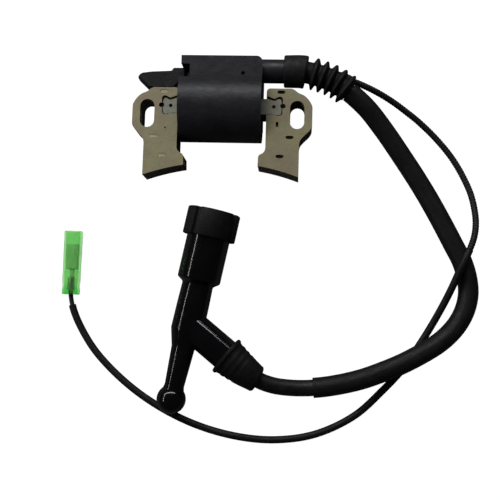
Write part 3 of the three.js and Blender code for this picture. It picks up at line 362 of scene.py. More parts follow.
# ---------- Stop lead and its sleeves ----------
# A thin insulated wire that earths the primary to stop the engine. It comes out of the grommet in
# a finely ribbed upper sleeve, then a stouter plain one, and shows bare just before its connector.
stop_line = Line([
    (0.0331, 0.0237, 0.0092), (0.0410, 0.0235, 0.0096), (0.0460, 0.0233, 0.0106), (0.0514, 0.0233, 0.0116),
    (0.0572, 0.0229, 0.0126), (0.0633, 0.0205, 0.0132), (0.0681, 0.0187, 0.0128), (0.0738, 0.0164, 0.0116),
    (0.0795, 0.0138, 0.0099), (0.0849, 0.0109, 0.0081), (0.0908, 0.0071, 0.0063), (0.0967, 0.0029, 0.0048),
    (0.1048, -0.0042, 0.0031), (0.1123, -0.0127, 0.0025), (0.1167, -0.0193, 0.0026), (0.1203, -0.0264, 0.0033),
    (0.1229, -0.0333, 0.0046), (0.1243, -0.0405, 0.0064), (0.1247, -0.0482, 0.0086), (0.1235, -0.0556, 0.0108),
    (0.1208, -0.0627, 0.0124), (0.1173, -0.0701, 0.0126), (0.1136, -0.0792, 0.0106), (0.1103, -0.0870, 0.0076),
    (0.1042, -0.0993, 0.0034), (0.0991, -0.1080, 0.0021), (0.0918, -0.1192, 0.00195),
    (0.0810, -0.1313, 0.00195), (0.0677, -0.1437, 0.00195), (0.0491, -0.1531, 0.00195),
    (0.0305, -0.1565, 0.00195), (0.0122, -0.1558, 0.00195), (-0.0084, -0.1511, 0.00195),
    (-0.0279, -0.1427, 0.00195), (-0.0454, -0.1313, 0.00195),
    (-0.0610, -0.1167, 0.00195), (-0.0695, -0.1044, 0.00195), (-0.0736, -0.0955, 0.0024),
    (-0.0751, -0.0886, 0.00305), (-0.0752, -0.0810, 0.00305),
])
wire_radius = 1.15
wire_end = stop_line.length
upper_start, upper_end = 32.5, 146.0
lower_end = wire_end - 12.5
wire_finish = Finish("wire_vinyl", (0.012, 0.012, 0.013), 0.38)
wire_finish.tint(wire_finish.noise(4), (0.02, 0.02, 0.022), 0.8)
wire_finish.bump(wire_finish.noise(0.3), 0.02)
wire_finish.rough(wire_finish.noise(1.5), 0.55)
stop_lead = swept("stop_lead_skin", stop_line, rounded(
    [(0.5, 0), (0.5, wire_radius), (wire_end, wire_radius), (wire_end, 0)], 0.2, 2), 20)
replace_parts(dress(stop_lead, wire_finish), "stop_lead")


def sleeve(name, start, end, radius, wave=0.0, pitch=1.4, bore=1.32):
    """A sleeve on the stop lead, its skin waved by shallow rings if wave isn't 0."""
    count = int((end - start) / pitch) * 4 if wave else 2
    skin = [(start, bore + 0.05)]
    for i in range(count + 1):
        share = 0.5 + 0.5 * math.cos(i * math.pi / 2) if wave else 1
        skin.append((start + (end - start) * i / count, radius - wave * (1 - share)))
    skin += [(end, bore), (start, bore), (start, bore + 0.05)]
    return swept(name, stop_line, skin, 20, 1.5)


upper = sleeve("stop_sleeve_upper_skin", upper_start, upper_end, 1.65, 0.16)
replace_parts(dress(upper, vinyl), "stop_sleeve_upper")
lower = sleeve("stop_sleeve_lower_skin", upper_end + 0.3, lower_end, 1.8)
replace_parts(dress(lower, vinyl), "stop_sleeve_lower")


# ---------- Laminated poles ----------
# Each pole is a stack of thin steel sheets, punched out, staked together and lacquered a dull
# khaki on their faces. The cut edges are painted near-black, mostly as painted shade over their own
# darker bare steel, and the sheets never line up quite exactly.
stack_low, stack_high = (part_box("right_pole_stack")[k][2] / MM for k in (0, 1))
sheet_count = 28
sheet_pitch = (stack_high - stack_low) / sheet_count
sheet_gap = 0.07
slot_x, slot_y, slot_half, slot_run = 36.5, 0.05, 3.5, 3.45


def arc(centre, radius, start, end, count=10):
    angles = np.radians(np.linspace(start, end, count))
    return [(centre[0] + radius * math.cos(a), centre[1] + radius * math.sin(a)) for a in angles]


def spline(points, count=6):
    """A curve through points of the plane, for the flowing parts of an outline."""
    curve = Line([(x * MM, y * MM, 0) for x, y in points])
    lengths = np.linspace(0, curve.length, count * (len(points) - 1) + 1)
    return [tuple(curve.frame_at(length)[0][:2]) for length in lengths]


flywheel_radius, flywheel_y = 110.0, -133.8
leg_right, leg_left, shoe_left = 37.7, 21.5, 18.05
face_angles = [math.degrees(math.acos(x / flywheel_radius)) for x in (leg_right, shoe_left)]
# The front sheets' notch leaves a round keyhole and a gap beside the tenon. The others fit it closely.
notch = (
    spline([(leg_left, 0.35), (24.6, 0.3), (26.6, -0.45), (28.4, -0.4), (29.35, 0.7)])
    + arc((29.7, 4.2), 1.15, 250, 470, 14)
    + spline([
        (29.5, 6.7), (29.4, 8.1), (28.2, 8.95), (26.9, 8.6), (25.5, 7.9), (24.0, 8.3), (22.5, 8.9),
        (leg_left, 8.8)])
)
close_notch = (
    spline([(leg_left, -0.07), (24.6, -0.12), (26.6, -0.37), (28.3, -0.27), (28.97, 0.85)])
    + arc((29.72, 4.2), 1.35, 240, 120, 9)
    + spline([
        (28.87, 6.45), (28.62, 7.38), (27.75, 7.87), (26.75, 7.52), (25.5, 6.87), (24.0, 7.27), (22.4, 7.82),
        (leg_left, 7.82)])
)
pole_outline, pole_outline_behind = (
    arc((0, flywheel_y), flywheel_radius, face_angles[0], face_angles[1], 14)
    + [(18.0, -24.9), (18.15, -20.7)]
    + spline([(18.7, -19.8), (20.2, -19.0), (21.1, -18.0), (leg_left, -16.6)])
    + edge
    + arc((23.2, 11.3), 1.7, 180, 90, 7)
    + spline([(33.6, 13), (35.0, 12.4), (36.8, 11), (39.8, 9.6), (42.2, 7.2), (43.6, 4.6), (43.8, 3.6)])
    + spline([(43.8, -5.0), (43.5, -6.2), (42.3, -8.0), (39.8, -10.5), (38.2, -12.5), (leg_right, -14.6)])
    for edge in (notch, close_notch))
pole_slot = (
    arc((slot_x, slot_y + slot_run), slot_half, 0, 180, 15)
    + arc((slot_x, slot_y - slot_run), slot_half, 180, 360, 15)
)
stakes = [(28.6, 11.1), (33.05, -11.2), (28.5, -20.6)]
stake_length, stake_width, stake_room = 3.9, 2.1, 0.12
pin_hole = (26.9, -4.8)


def plate(name, outlines, thickness, edge=0.04):
    """A flat sheet cut to an outline, with holes, and its cut edges very slightly rounded."""
    curve = bpy.data.curves.new(name, "CURVE")
    curve.dimensions = "2D"
    curve.fill_mode = "BOTH"
    curve.extrude = (thickness / 2 - edge) * MM
    curve.bevel_depth = edge * MM
    curve.offset = -edge * MM
    curve.bevel_resolution = 0
    for outline in outlines:
        loop = curve.splines.new("POLY")
        loop.points.add(len(outline) - 1)
        loop.use_cyclic_u = True
        for point, (x, y) in zip(loop.points, outline):
            point.co = (x * MM, y * MM, 0, 1)
    shape = bpy.data.objects.new(name, curve)
    bpy.context.scene.collection.objects.link(shape)
    mesh = bpy.data.meshes.new_from_object(shape.evaluated_get(bpy.context.evaluated_depsgraph_get()))
    bpy.data.objects.remove(shape)
    made = bpy.data.objects.new(name, mesh)
    bpy.context.scene.collection.objects.link(made)
    return made


def tree_with(name, sockets):
    """A Geometry Nodes tree with a geometry input and named inputs for its sizes."""
    tree = bpy.data.node_groups.new(name, "GeometryNodeTree")
    tree.interface.new_socket("Geometry", in_out="INPUT", socket_type="NodeSocketGeometry")
    for label, kind in sockets:
        tree.interface.new_socket(label, in_out="INPUT", socket_type="NodeSocket" + kind)
    tree.interface.new_socket("Geometry", in_out="OUTPUT", socket_type="NodeSocketGeometry")
    return tree, tree.nodes.new("NodeGroupInput").outputs, tree.nodes.new("NodeGroupOutput").inputs


def wire(tree, kind, inputs=(), **settings):
    made = tree.nodes.new(kind)
    for name, value in settings.items():
        setattr(made, name, value)
    for key, value in dict(inputs).items():
        if isinstance(value, bpy.types.NodeSocket):
            tree.links.new(value, made.inputs[key])
        else:
            made.inputs[key].default_value = value
    return made


def grown(source, name, tree, values):
    """Runs a tree on an object with its named inputs set, and returns a plain mesh object."""
    modifier = source.modifiers.new("tree", "NODES")
    modifier.node_group = tree
    for item in tree.interface.items_tree:
        if item.in_out == "INPUT" and item.name in values:
            modifier[item.identifier] = values[item.name]
    mesh = bpy.data.meshes.new_from_object(source.evaluated_get(bpy.context.evaluated_depsgraph_get()))
    source.modifiers.remove(modifier)
    bpy.data.objects.remove(source)
    mesh.name = name
    made = bpy.data.objects.new(name, mesh)
    bpy.context.scene.collection.objects.link(made)
    return made


stack_tree, given, result = tree_with("sheet_stack", [
    ("Count", "Int"), ("Pitch", "Float"), ("Slip", "Float"), ("Seed", "Int"), ("Finish", "Material")])
rise = wire(stack_tree, "ShaderNodeCombineXYZ", {"Z": given["Pitch"]})
ladder = wire(stack_tree, "GeometryNodeMeshLine", {"Count": given["Count"], "Offset": rise.outputs[0]})
slip_low = wire(stack_tree, "ShaderNodeMath", {0: given["Slip"], 1: -1.0}, operation="MULTIPLY")
low = wire(stack_tree, "ShaderNodeCombineXYZ", {"X": slip_low.outputs[0], "Y": slip_low.outputs[0]})
high = wire(stack_tree, "ShaderNodeCombineXYZ", {"X": given["Slip"], "Y": given["Slip"]})
slip = wire(stack_tree, "FunctionNodeRandomValue", {
    0: low.outputs[0], 1: high.outputs[0], "Seed": given["Seed"]}, data_type="FLOAT_VECTOR")
placed = wire(stack_tree, "GeometryNodeSetPosition", {
    "Geometry": ladder.outputs[0], "Offset": slip.outputs[0]})
sheets = wire(stack_tree, "GeometryNodeInstanceOnPoints", {
    "Points": placed.outputs[0], "Instance": given["Geometry"]})
real = wire(stack_tree, "GeometryNodeRealizeInstances", {"Geometry": sheets.outputs[0]})
painted = wire(stack_tree, "GeometryNodeSetMaterial", {
    "Geometry": real.outputs[0], "Material": given["Finish"]})
stack_tree.links.new(painted.outputs[0], result[0])

lacquer = Finish("sheet_lacquer", (0.275, 0.252, 0.146), 0.42, Specular_IOR_Level=0.35, Metallic=0.15)
lacquer.tint(lacquer.noise(9, 4, low=0.4, high=0.62), (0.245, 0.198, 0.138), 0.8)
lacquer.tint(lacquer.noise(4, 4, low=0.45, high=0.7), (0.215, 0.22, 0.138), 0.7)
lacquer.tint(lacquer.noise(0.5, 2, low=0.6, high=0.72), (0.42, 0.38, 0.27), 0.45)
lacquer.tint(lacquer.noise(0.9, 2, low=0.64, high=0.74), (0.12, 0.10, 0.06), 0.5)
facing = lacquer.node("ShaderNodeNewGeometry").outputs["True Normal"]
upright = lacquer.node("ShaderNodeSeparateXYZ", {0: facing})
lying = lacquer.node("ShaderNodeMath", {0: upright.outputs["Z"]}, operation="ABSOLUTE").outputs[0]
# Faces standing on edge, the sheets' cut sides, are tinted near-black brown: mostly painted shade, over a
# little of the bare cut steel's own darker tone.
side_face_shade = lacquer.node("ShaderNodeMapRange", {
    "Value": lying, "From Min": 0.6, "From Max": 0.3}).outputs["Result"]
lacquer.tint(side_face_shade, (0.022, 0.018, 0.012), 0.95)
# Everything more than a quarter millimetre below the stack's top face is tinted near-black brown: painted
# shade in the stake windows, the notch gaps and on the sheets' sides.
spot_in_stack = lacquer.node("ShaderNodeTexCoord").outputs["Object"]
height = lacquer.node("ShaderNodeSeparateXYZ", {0: spot_in_stack}).outputs["Z"]
deep = lacquer.node("ShaderNodeMapRange", {
    "Value": height,
    "From Min": (stack_high - 0.25) * MM, "From Max": (stack_high - 0.8) * MM}).outputs["Result"]
lacquer.tint(deep, (0.014, 0.011, 0.008), 0.93)
# Faces sloping between flat and upright, on the sheets' rounded edges and the stamped spots, are tinted light
# khaki: a painted highlight.
slope_highlight = lacquer.node("ShaderNodeMapRange", {"Value": lying, "From Min": 0.55, "From Max": 0.75})
rim = lacquer.node("ShaderNodeMapRange", {"Value": lying, "From Min": 0.95, "From Max": 0.8})
lacquer.tint(lacquer.times(slope_highlight.outputs["Result"], rim.outputs["Result"]), (0.5, 0.46, 0.34), 0.8)
lacquer.rough(lacquer.noise(2.2), 0.56)
lacquer.bump(lacquer.noise(1.6, 3), 0.03)
lacquer.bump(lacquer.noise(0.25, 2), 0.012)


def moved(piece, matrix):
    """Puts a piece's place into its mesh, with its faces outwards after any mirroring."""
    piece.data.transform(matrix)
    if matrix.determinant() < 0:
        piece.data.flip_normals()
    return piece


def merged(name, pieces):
    """One mesh from several separate ones."""
    work = bmesh.new()
    for piece in pieces:
        work.from_mesh(piece.data)
        bpy.data.objects.remove(piece)
    mesh = bpy.data.meshes.new(name)
    work.to_mesh(mesh)
    work.free()
    made = bpy.data.objects.new(name, mesh)
    bpy.context.scene.collection.objects.link(made)
    return made


def stack(name, outlines, count, low, seed, finish, slip=0.025):
    """A stack of like sheets from a height upwards."""
    sheet = plate(name + "_sheet", outlines, sheet_pitch - sheet_gap)
    made = grown(sheet, name, stack_tree, {
        "Count": count, "Pitch": sheet_pitch * MM, "Slip": slip * MM, "Seed": seed, "Finish": finish.material})
    return moved(made, Matrix.Translation((0, 0, (low + sheet_pitch / 2) * MM)))


def stake_window(x, y):
    """The window a stake leaves in the front sheets: nearly straight above, bowed below."""
    half, deep = stake_length / 2, stake_width / 2
    above = [(-1, 0.45), (-0.6, 0.85), (0.6, 0.85), (1, 0.45)]
    below = [(math.cos(a), 0.3 + 1.25 * math.sin(a)) for a in np.radians(range(-12, -170, -12))]
    return [(x + half * across, y + deep * up) for across, up in above + below]


def stake_tab(name, x, y, sunk, lip):
    """The tongue of sheet in a stake's window, sunk by one depth above and by another at its lip."""
    half, deep = stake_length / 2 - stake_room, stake_width / 2 - stake_room
    rows = [(-1.0, 0.5, lip), (-0.8, 0.72, lip), (-0.66, 0.86, (sunk + lip) / 2), (-0.3, 1.0, sunk),
            (0.8, 0.97, sunk)]
    shares = (-1, -0.5, 0, 0.5, 1)
    points = [(x + share * half * wide, y + up * deep, stack_high - drop)
              for up, wide, drop in rows for share in shares]
    columns, under = len(shares), len(points)
    points += [(px, py, pz - tab_thickness) for px, py, pz in points]
    top = [(r * columns + c, r * columns + c + 1, (r + 1) * columns + c + 1, (r + 1) * columns + c)
           for r in range(len(rows) - 1) for c in range(columns - 1)]
    low = [tuple(i + under for i in reversed(face)) for face in top]
    rim = ([*range(columns)] + [*range(2 * columns - 1, under, columns)]
           + [*range(under - 2, under - columns - 1, -1)] + [*range(under - 2 * columns, 0, -columns)])
    wall = [(a, b, b + under, a + under) for a, b in zip(rim, rim[1:] + rim[:1])]
    return finished_mesh(name, points, top + low + wall, sharp=50)


# The right pole's stakes are pressed deep, and it has a small slot with a pip below it. The left
# pole's stakes are nearly flush, and it has a raised ring with a pinhole below it.
pressed_sheets, tab_thickness, spot_sides = 4, 0.3, 24
for side, seed, node, sunk, lip in (
        (1, 3, "right_pole_stack", 1.3, 0.1),
        (-1, 8, "left_pole_stack", 0.2, 0.02)):
    windows = [stake_window(x, y) for x, y in stakes]
    px, py = pin_hole
    if side > 0:
        windows.append(arc((px, py + 0.7), 0.6, 0, 180, 7) + arc((px, py - 0.7), 0.6, 180, 360, 7))
    else:
        windows.append(arc((px + 0.6, py - 2.2), 0.4, 0, 330, 11))
    rest = stack(node + "_core", [pole_outline_behind, pole_slot], sheet_count - pressed_sheets,
                 stack_low, seed, lacquer)
    front = stack(node + "_front", [pole_outline, pole_slot, *windows], pressed_sheets,
                  stack_high - pressed_sheets * sheet_pitch, seed + 1, lacquer)
    pieces = [rest, front]
    pieces += [stake_tab(f"{node}_tab_{i}", x, y, sunk, lip) for i, (x, y) in enumerate(stakes)]
    if side > 0:
        spot_x, spot_y = px - 0.1, py - 2.6
        drops = [(0.5, 0.55), (0.12, 0.5), (0.02, 0.3)]
    else:
        spot_x, spot_y = px + 1.0, py - 0.1
        drops = [(0.5, 1.5), (0.1, 1.45), (0.02, 1.25), (0.14, 1.0)]
    spot = [(spot_x + r * math.cos(turn), spot_y + r * math.sin(turn), stack_high - drop)
            for drop, r in drops for turn in np.radians(range(0, 360, 360 // spot_sides))]
    ends = [tuple(range(spot_sides)), tuple(range(spot_sides * (len(drops) - 1), spot_sides * len(drops)))]
    sides = [(k + j, k + (j + 1) % spot_sides, k + spot_sides + (j + 1) % spot_sides, k + spot_sides + j)
             for k in range(0, spot_sides * (len(drops) - 1), spot_sides) for j in range(spot_sides)]
    pieces.append(finished_mesh(node + "_spot", spot, sides + ends, sharp=50))
    pole = merged(node + "_sheets", pieces)
    moved(pole, Matrix.Diagonal((side, 1, 1, 1)))
    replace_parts(dress(pole, lacquer), node)


# ---------- Core bar ----------
# The stack that joins the poles through the windings. Its tenons are keyed into the poles with a
# waved edge, pinned at a round hole, and left a greener grey than the lacquered poles.
bar_steel = Finish("bar_steel", (0.25, 0.255, 0.21), 0.46, Metallic=0.2, Specular_IOR_Level=0.35)
bar_steel.tint(bar_steel.noise(3, 4), (0.17, 0.175, 0.15), 0.8)
bar_steel.tint(bar_steel.noise(0.6, 2, low=0.58, high=0.7), (0.32, 0.32, 0.28), 0.6)
bar_steel.tint(bar_steel.noise(7, 2, low=0.5, high=0.7), (0.21, 0.18, 0.12), 0.5)
bar_steel.rough(bar_steel.noise(1.2), 0.6)
bar_steel.bump(bar_steel.noise(0.6, 3), 0.04)
tenon = (
    spline([(20.0, 0.05), (24.6, 0.0), (26.6, -0.25), (28.2, -0.15), (28.85, 0.9)])
    + arc((29.6, 4.2), 1.35, 240, 120, 9)
    + spline([
        (28.75, 6.4), (28.5, 7.3), (27.7, 7.75), (26.8, 7.4), (25.5, 6.75), (24.0, 7.15), (22.4, 7.7),
        (20.0, 7.7)])
)
bar_outline = tenon + [(-x, y) for x, y in reversed(tenon)]
rivet_x, rivet_y, rivet_radius = 25.1, 3.9, 0.875
rivet_holes = [arc((side * rivet_x, rivet_y), rivet_radius, 0, 340, 16) for side in (1, -1)]
core = stack("core_bar_sheets", [bar_outline, *rivet_holes], sheet_count, stack_low, 5, bar_steel, 0.02)
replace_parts(dress(core, bar_steel), "core_bar_stack")


# ---------- Coil case ----------
# One moulding in satin black nylon: a barrel over the windings, a box over the ignition module and
# a round neck for the lead. A recess at its left clears the stop terminal, and the gate left a pip.
case_half, case_right, case_top = -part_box("coil_case")[0][0] / MM, 19.1, 29.3
box_front, barrel_radius, barrel_y, barrel_z, barrel_turn = 24.0, 16.8, 4.6, 17.0, 62
case_wall, neck_radius, neck_bore, gate_radius = 1.8, 5.85, 4.35, 1.0


def prism(name, outline, axis, low, high):
    """An outline run straight along an axis. The outline's own axes are the other two, in order."""
    along = "XYZ".index(axis)
    others = [k for k in range(3) if k != along]
    points = []
    for end in (low, high):
        for a, b in outline:
            point = [0.0, 0.0, 0.0]
            point[along], point[others[0]], point[others[1]] = end, a, b
            points.append(point)
    count = len(outline)
    walls = [(i, (i + 1) % count, (i + 1) % count + count, i + count) for i in range(count)]
    return finished_mesh(name, points, walls + [tuple(range(count)), tuple(range(count, 2 * count))])


def shaped(piece, tools, operation="DIFFERENCE"):
    """Cuts away, joins on or keeps only what is common with each tool, and removes the tools."""
    for tool in tools:
        modifier = piece.modifiers.new("shape", "BOOLEAN")
        modifier.operation = operation
        modifier.solver = "EXACT"
        modifier.object = tool
    mesh = bpy.data.meshes.new_from_object(piece.evaluated_get(bpy.context.evaluated_depsgraph_get()))
    piece.modifiers.clear()
    piece.data = mesh
    for tool in tools:
        bpy.data.objects.remove(tool)
    return piece


def softened(piece, width, segments=3, angle=30, sharp=40):
    """Rounds the sharp edges of a moulding."""
    modifier = piece.modifiers.new("edge", "BEVEL")
    modifier.width = width * MM
    modifier.segments = segments
    modifier.limit_method = "ANGLE"
    modifier.angle_limit = math.radians(angle)
    mesh = bpy.data.meshes.new_from_object(piece.evaluated_get(bpy.context.evaluated_depsgraph_get()))
    piece.modifiers.clear()
    piece.data = mesh
    mesh.shade_smooth()
    mesh.set_sharp_from_angle(angle=math.radians(sharp))
    even = piece.modifiers.new("even", "WEIGHTED_NORMAL")
    even.keep_sharp = True
    even.weight = 100
    piece.data = bpy.data.meshes.new_from_object(piece.evaluated_get(bpy.context.evaluated_depsgraph_get()))
    piece.modifiers.clear()
    return piece


def box_between(name, low, high):
    outline = [(low[0], low[1]), (high[0], low[1]), (high[0], high[1]), (low[0], high[1])]
    return prism(name, outline, "Z", low[2], high[2])


def cylinder(name, radius, start, end, sides=64):
    """A straight round bar between two points."""
    start, end = np.array(start, float), np.array(end, float)
    ahead = (end - start) / np.linalg.norm(end - start)
    side = np.cross(ahead, (0, 0, 1) if abs(ahead[2]) < 0.9 else (1, 0, 0))
    side /= np.linalg.norm(side)
    up = np.cross(side, ahead)
    turns = [2 * math.pi * k / sides for k in range(sides)]
    points = [p + radius * (math.cos(t) * side + math.sin(t) * up) for p in (start, end) for t in turns]
    walls = [(k, (k + 1) % sides, (k + 1) % sides + sides, k + sides) for k in range(sides)]
    return finished_mesh(name, points, walls + [tuple(range(sides)), tuple(range(sides, 2 * sides))])


def case_profile(inset, rear=0.0):
    """The case seen along the bar: the box part's end, then the barrel's round down to its foot."""
    radius, front = barrel_radius - inset, box_front - inset
    foot = barrel_y - barrel_radius * math.cos(math.radians(barrel_turn)) + inset
    start = math.degrees(math.asin((front - barrel_z) / radius))
    end = 180 + math.degrees(math.acos((barrel_y - foot) / radius))
    return ([(foot, rear), (case_top - inset, rear), (case_top - inset, front)]
            + arc((barrel_y, barrel_z), radius, start, end, 72))


corner = 3.0
case_plan = ([(-case_half, barrel_y - 20), (case_right, barrel_y - 20)]
             + arc((case_right - corner, case_top - corner), corner, 0, 90, 10)
             + [(-case_half, case_top)])
recess_low, recess_high = (-case_half - 1, 17.4, 12.0), (-case_half + 4.3, 25.1, 30)
neck_place = [(case_right - 1.2, 23.7, 17.0), (36.5, 23.7, 17.0)]
gate_place = (9.7, barrel_y + math.sqrt(barrel_radius**2 - (box_front - barrel_z)**2) + 0.6)
case = prism("case_body", case_profile(0), "X", -case_half, case_right)
case = shaped(case, [prism("plan", case_plan, "Z", -1, 40)], "INTERSECT")
case = shaped(case, [cylinder("neck", neck_radius, *neck_place)], "UNION")
chamber = prism("chamber", case_profile(case_wall, -1.0), "X", -case_half + case_wall, case_right - case_wall)
guard = box_between("guard", (-case_half - 2, 16, 10.6), (-case_half + 5.7, 26.5, 31))
chamber = shaped(chamber, [guard])
case = shaped(case, [
    chamber,
    box_between("recess", recess_low, recess_high),
    box_between("bar_slot", (-case_half - 1, -0.3, 9.7), (case_half + 1, 8.5, 24.3)),
    box_between("lead_groove", (-case_half - 1, 22.6, -1), (case_half + 1, 26.2, 3.4)),
    box_between("blade_slot", (-case_half - 1, 19.5, 16.3), (-case_half + 6, 22.9, 17.7)),
    cylinder("neck_bore", neck_bore, (22.9, 23.7, 17), (40, 23.7, 17)),
    cylinder("gate", gate_radius, (*gate_place, box_front - 1.6), (*gate_place, box_front + 2), 24),
])
softened(case, 0.4)
nylon = Finish("case_nylon", (0.0085, 0.0085, 0.011), 0.38, Specular_IOR_Level=0.5)
nylon.tint(nylon.noise(11, 3), (0.016, 0.016, 0.022), 0.8)
nylon.tint(nylon.noise(0.4, 2, low=0.62, high=0.74), (0.06, 0.06, 0.07), 0.4)
nylon.tint(nylon.edges(0.5), (0.075, 0.075, 0.085), 0.45)
nylon.rough(nylon.noise(3), 0.5)
nylon.bump(nylon.noise(0.22, 2), 0.012)
nylon.bump(nylon.noise(5, 2), 0.06)
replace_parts(dress(case, nylon), "coil_case")


# ---------- Grommet ----------
# A soft black rubber boot pushed over the neck. A plain collar grips it, and five ribs let it bend
# where the lead leaves. The stop lead passes through the same grommet, in a swelling beneath.
rib_radius, rib_valley, rib_count, rib_pitch, first_rib = 7.95, 5.35, 5, 4.25, 21.5
grommet_end, collar_radius = 40.6, 8.1
rubber = Finish("moulded_rubber", (0.005, 0.005, 0.0055), 0.5, Specular_IOR_Level=0.35)
rubber.tint(rubber.noise(5), (0.011, 0.011, 0.012), 0.8)
rubber.tint(rubber.noise(0.35, 2, low=0.62, high=0.74), (0.055, 0.055, 0.058), 0.5)
rubber.rough(rubber.noise(2), 0.72)
rubber.bump(rubber.noise(0.3, 2), 0.03)
rubber.bump(rubber.noise(2.2, 2), 0.05)

rib_tree, given, result = tree_with("ribbed_boot", [
    ("Valley", "Float"), ("Tip", "Float"), ("Pitch", "Float"), ("First", "Float"), ("Count", "Int"),
    ("Foot", "Float"), ("Finish", "Material")])
run = wire(rib_tree, "GeometryNodeSplineParameter").outputs["Length"]
from_first = wire(rib_tree, "ShaderNodeMath", {0: run, 1: given["First"]}, operation="SUBTRACT")
turns = wire(rib_tree, "ShaderNodeMath", {0: from_first.outputs[0], 1: given["Pitch"]}, operation="DIVIDE")
nearest = wire(rib_tree, "ShaderNodeMath", {0: turns.outputs[0]}, operation="ROUND")
last_rib = wire(rib_tree, "ShaderNodeMath", {0: given["Count"], 1: 1.0}, operation="SUBTRACT")
capped = wire(rib_tree, "ShaderNodeClamp", {0: nearest.outputs[0], 1: 0.0, 2: last_rib.outputs[0]})
away = wire(rib_tree, "ShaderNodeMath", {0: turns.outputs[0], 1: capped.outputs[0]}, operation="SUBTRACT")
distance = wire(rib_tree, "ShaderNodeMath", {0: away.outputs[0]}, operation="ABSOLUTE")
swell = wire(rib_tree, "ShaderNodeMapRange", {
    "Value": distance.outputs[0], "From Min": given["Foot"], "From Max": 0.05,
    "To Min": given["Valley"], "To Max": given["Tip"]}, interpolation_type="SMOOTHSTEP")
sized = wire(rib_tree, "GeometryNodeSetCurveRadius", {
    "Curve": given["Geometry"], "Radius": swell.outputs["Result"]})
ring = wire(rib_tree, "GeometryNodeCurvePrimitiveCircle", {"Resolution": 48, "Radius": 1.0})
boot_skin = wire(rib_tree, "GeometryNodeCurveToMesh", {
    "Curve": sized.outputs[0], "Profile Curve": ring.outputs[0], "Fill Caps": True})
if "Scale" in boot_skin.inputs:
    rib_tree.links.new(swell.outputs["Result"], boot_skin.inputs["Scale"])
real = wire(rib_tree, "GeometryNodeRealizeInstances", {"Geometry": boot_skin.outputs[0]})
painted = wire(rib_tree, "GeometryNodeSetMaterial", {
    "Geometry": real.outputs[0], "Material": given["Finish"]})
rib_tree.links.new(painted.outputs[0], result[0])


def curve_along(name, line, start, end, spacing=0.2):
    """An open curve that follows part of a line, for a tree to work on."""
    data = bpy.data.curves.new(name, "CURVE")
    data.dimensions = "3D"
    points = line.stretch(start, end, spacing)
    path = data.splines.new("POLY")
    path.points.add(len(points) - 1)
    for point, place in zip(path.points, points):
        point.co = (*place, 1)
    made = bpy.data.objects.new(name, data)
    bpy.context.scene.collection.objects.link(made)
    return made


boot_start = 17.0
boot = grown(curve_along("boot_path", ht_line, boot_start, grommet_end), "boot_ribs", rib_tree, {
    "Valley": rib_valley * MM, "Tip": rib_radius * MM, "Pitch": rib_pitch * MM, "Count": rib_count,
    "First": (first_rib - boot_start) * MM, "Foot": 0.44, "Finish": rubber.material})
collar = swept("boot_collar", ht_line, rounded([
    (6.3, 0), (6.3, collar_radius - 0.2), (17.3, collar_radius), (17.3, 0)], 0.9), 64)
swelling = swept("boot_swelling", stop_line, rounded([
    (0.2, 0), (0.2, 2.35), (29, 2.35), (31.4, 1.9), (31.4, 0)], 0.5), 24)
grommet = merged("grommet", [boot, collar, swelling])
grommet.data.shade_smooth()
grommet.data.set_sharp_from_angle(angle=math.radians(50))
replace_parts(dress(grommet, rubber), "grommet_boot")


# ---------- Stop terminal: sleeve over the receptacle ----------
# A flat pouch of dull black vinyl over the push-on receptacle. Its blind end is cut on a slant, and
# its mouth reaches into the case's recess.
(pouch_low, pouch_high) = (np.array(c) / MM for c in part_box("terminal_sleeve"))
pouch_outline = rounded([
    (-30, 13.6), (-24.5, 13.6), (-21.6, 16.5), (-21.2, 17.8), (-18.6, 17.8), (-18.6, 24.5), (-25.3, 24.5),
    (-26.0, 23.0), (-36, 22.5), (-41.0, 21.8), (-42.6, 20.3), (-42.6, 18.8), (-37.6, 14.0), (-36.9, 13.6),
    (-30, 13.6)], 0.8)[:-1]
pouch = plate("terminal_pouch", [pouch_outline], pouch_high[2] - pouch_low[2], 1.1)
moved(pouch, Matrix.Translation((0, 0, (pouch_low[2] + pouch_high[2]) / 2 * MM)))
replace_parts(dress(pouch, vinyl, "terminal"), "terminal_sleeve")


# ---------- Stop lead behind the coil ----------
# The same thin wire as the stop lead: from the receptacle's crimp it drops behind the case, lies in
# a trough along its foot and rises into the grommet.
rear_line = Line([
    (-0.0309, 0.0202, 0.0154), (-0.0309, 0.0202, 0.0125), (-0.0303, 0.0208, 0.0075), (-0.0269, 0.0220, 0.0032),
    (-0.0257, 0.0241, 0.0016), (-0.0187, 0.0244, 0.0016), (0, 0.0244, 0.0016), (0.0197, 0.0244, 0.0016),
    (0.0242, 0.0243, 0.0028), (0.0285, 0.0239, 0.0064), (0.0322, 0.0237, 0.0087),
])
rear_lead = swept("rear_lead_skin", rear_line, rounded([
    (0, 0), (0, wire_radius), (rear_line.length, wire_radius), (rear_line.length, 0)], 0.2, 2), 20)
dress(rear_lead, wire_finish, None)
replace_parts(rear_lead, "stop_lead_rear")
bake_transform(rear_lead)


# ---------- Stop terminal blade and receptacle ----------
# A brass blade moulded into the case, and the tinned push-on receptacle folded from strip that grips
# it, with rolled flanks and a crimp on the wire.
brass = Finish("brass_strip", (0.62, 0.43, 0.17), 0.3, Metallic=1.0)
brass.tint(brass.noise(1.5, 4), (0.42, 0.27, 0.10), 0.7)
brass.tint(brass.edges(0.2), (0.85, 0.68, 0.36), 0.7)
brass.rough(brass.noise(0.8), 0.48)
brass.bump(brass.noise(0.25, 2, (1, 1, 6)), 0.01)
tin = Finish("tinned_strip", (0.55, 0.55, 0.53), 0.3, Metallic=1.0)
tin.tint(tin.noise(0.9, 4), (0.40, 0.40, 0.385), 0.7)
tin.tint(tin.edges(0.15), (0.8, 0.8, 0.78), 0.6)
tin.rough(tin.noise(0.6), 0.5)
tin.bump(tin.noise(0.2, 2), 0.01)


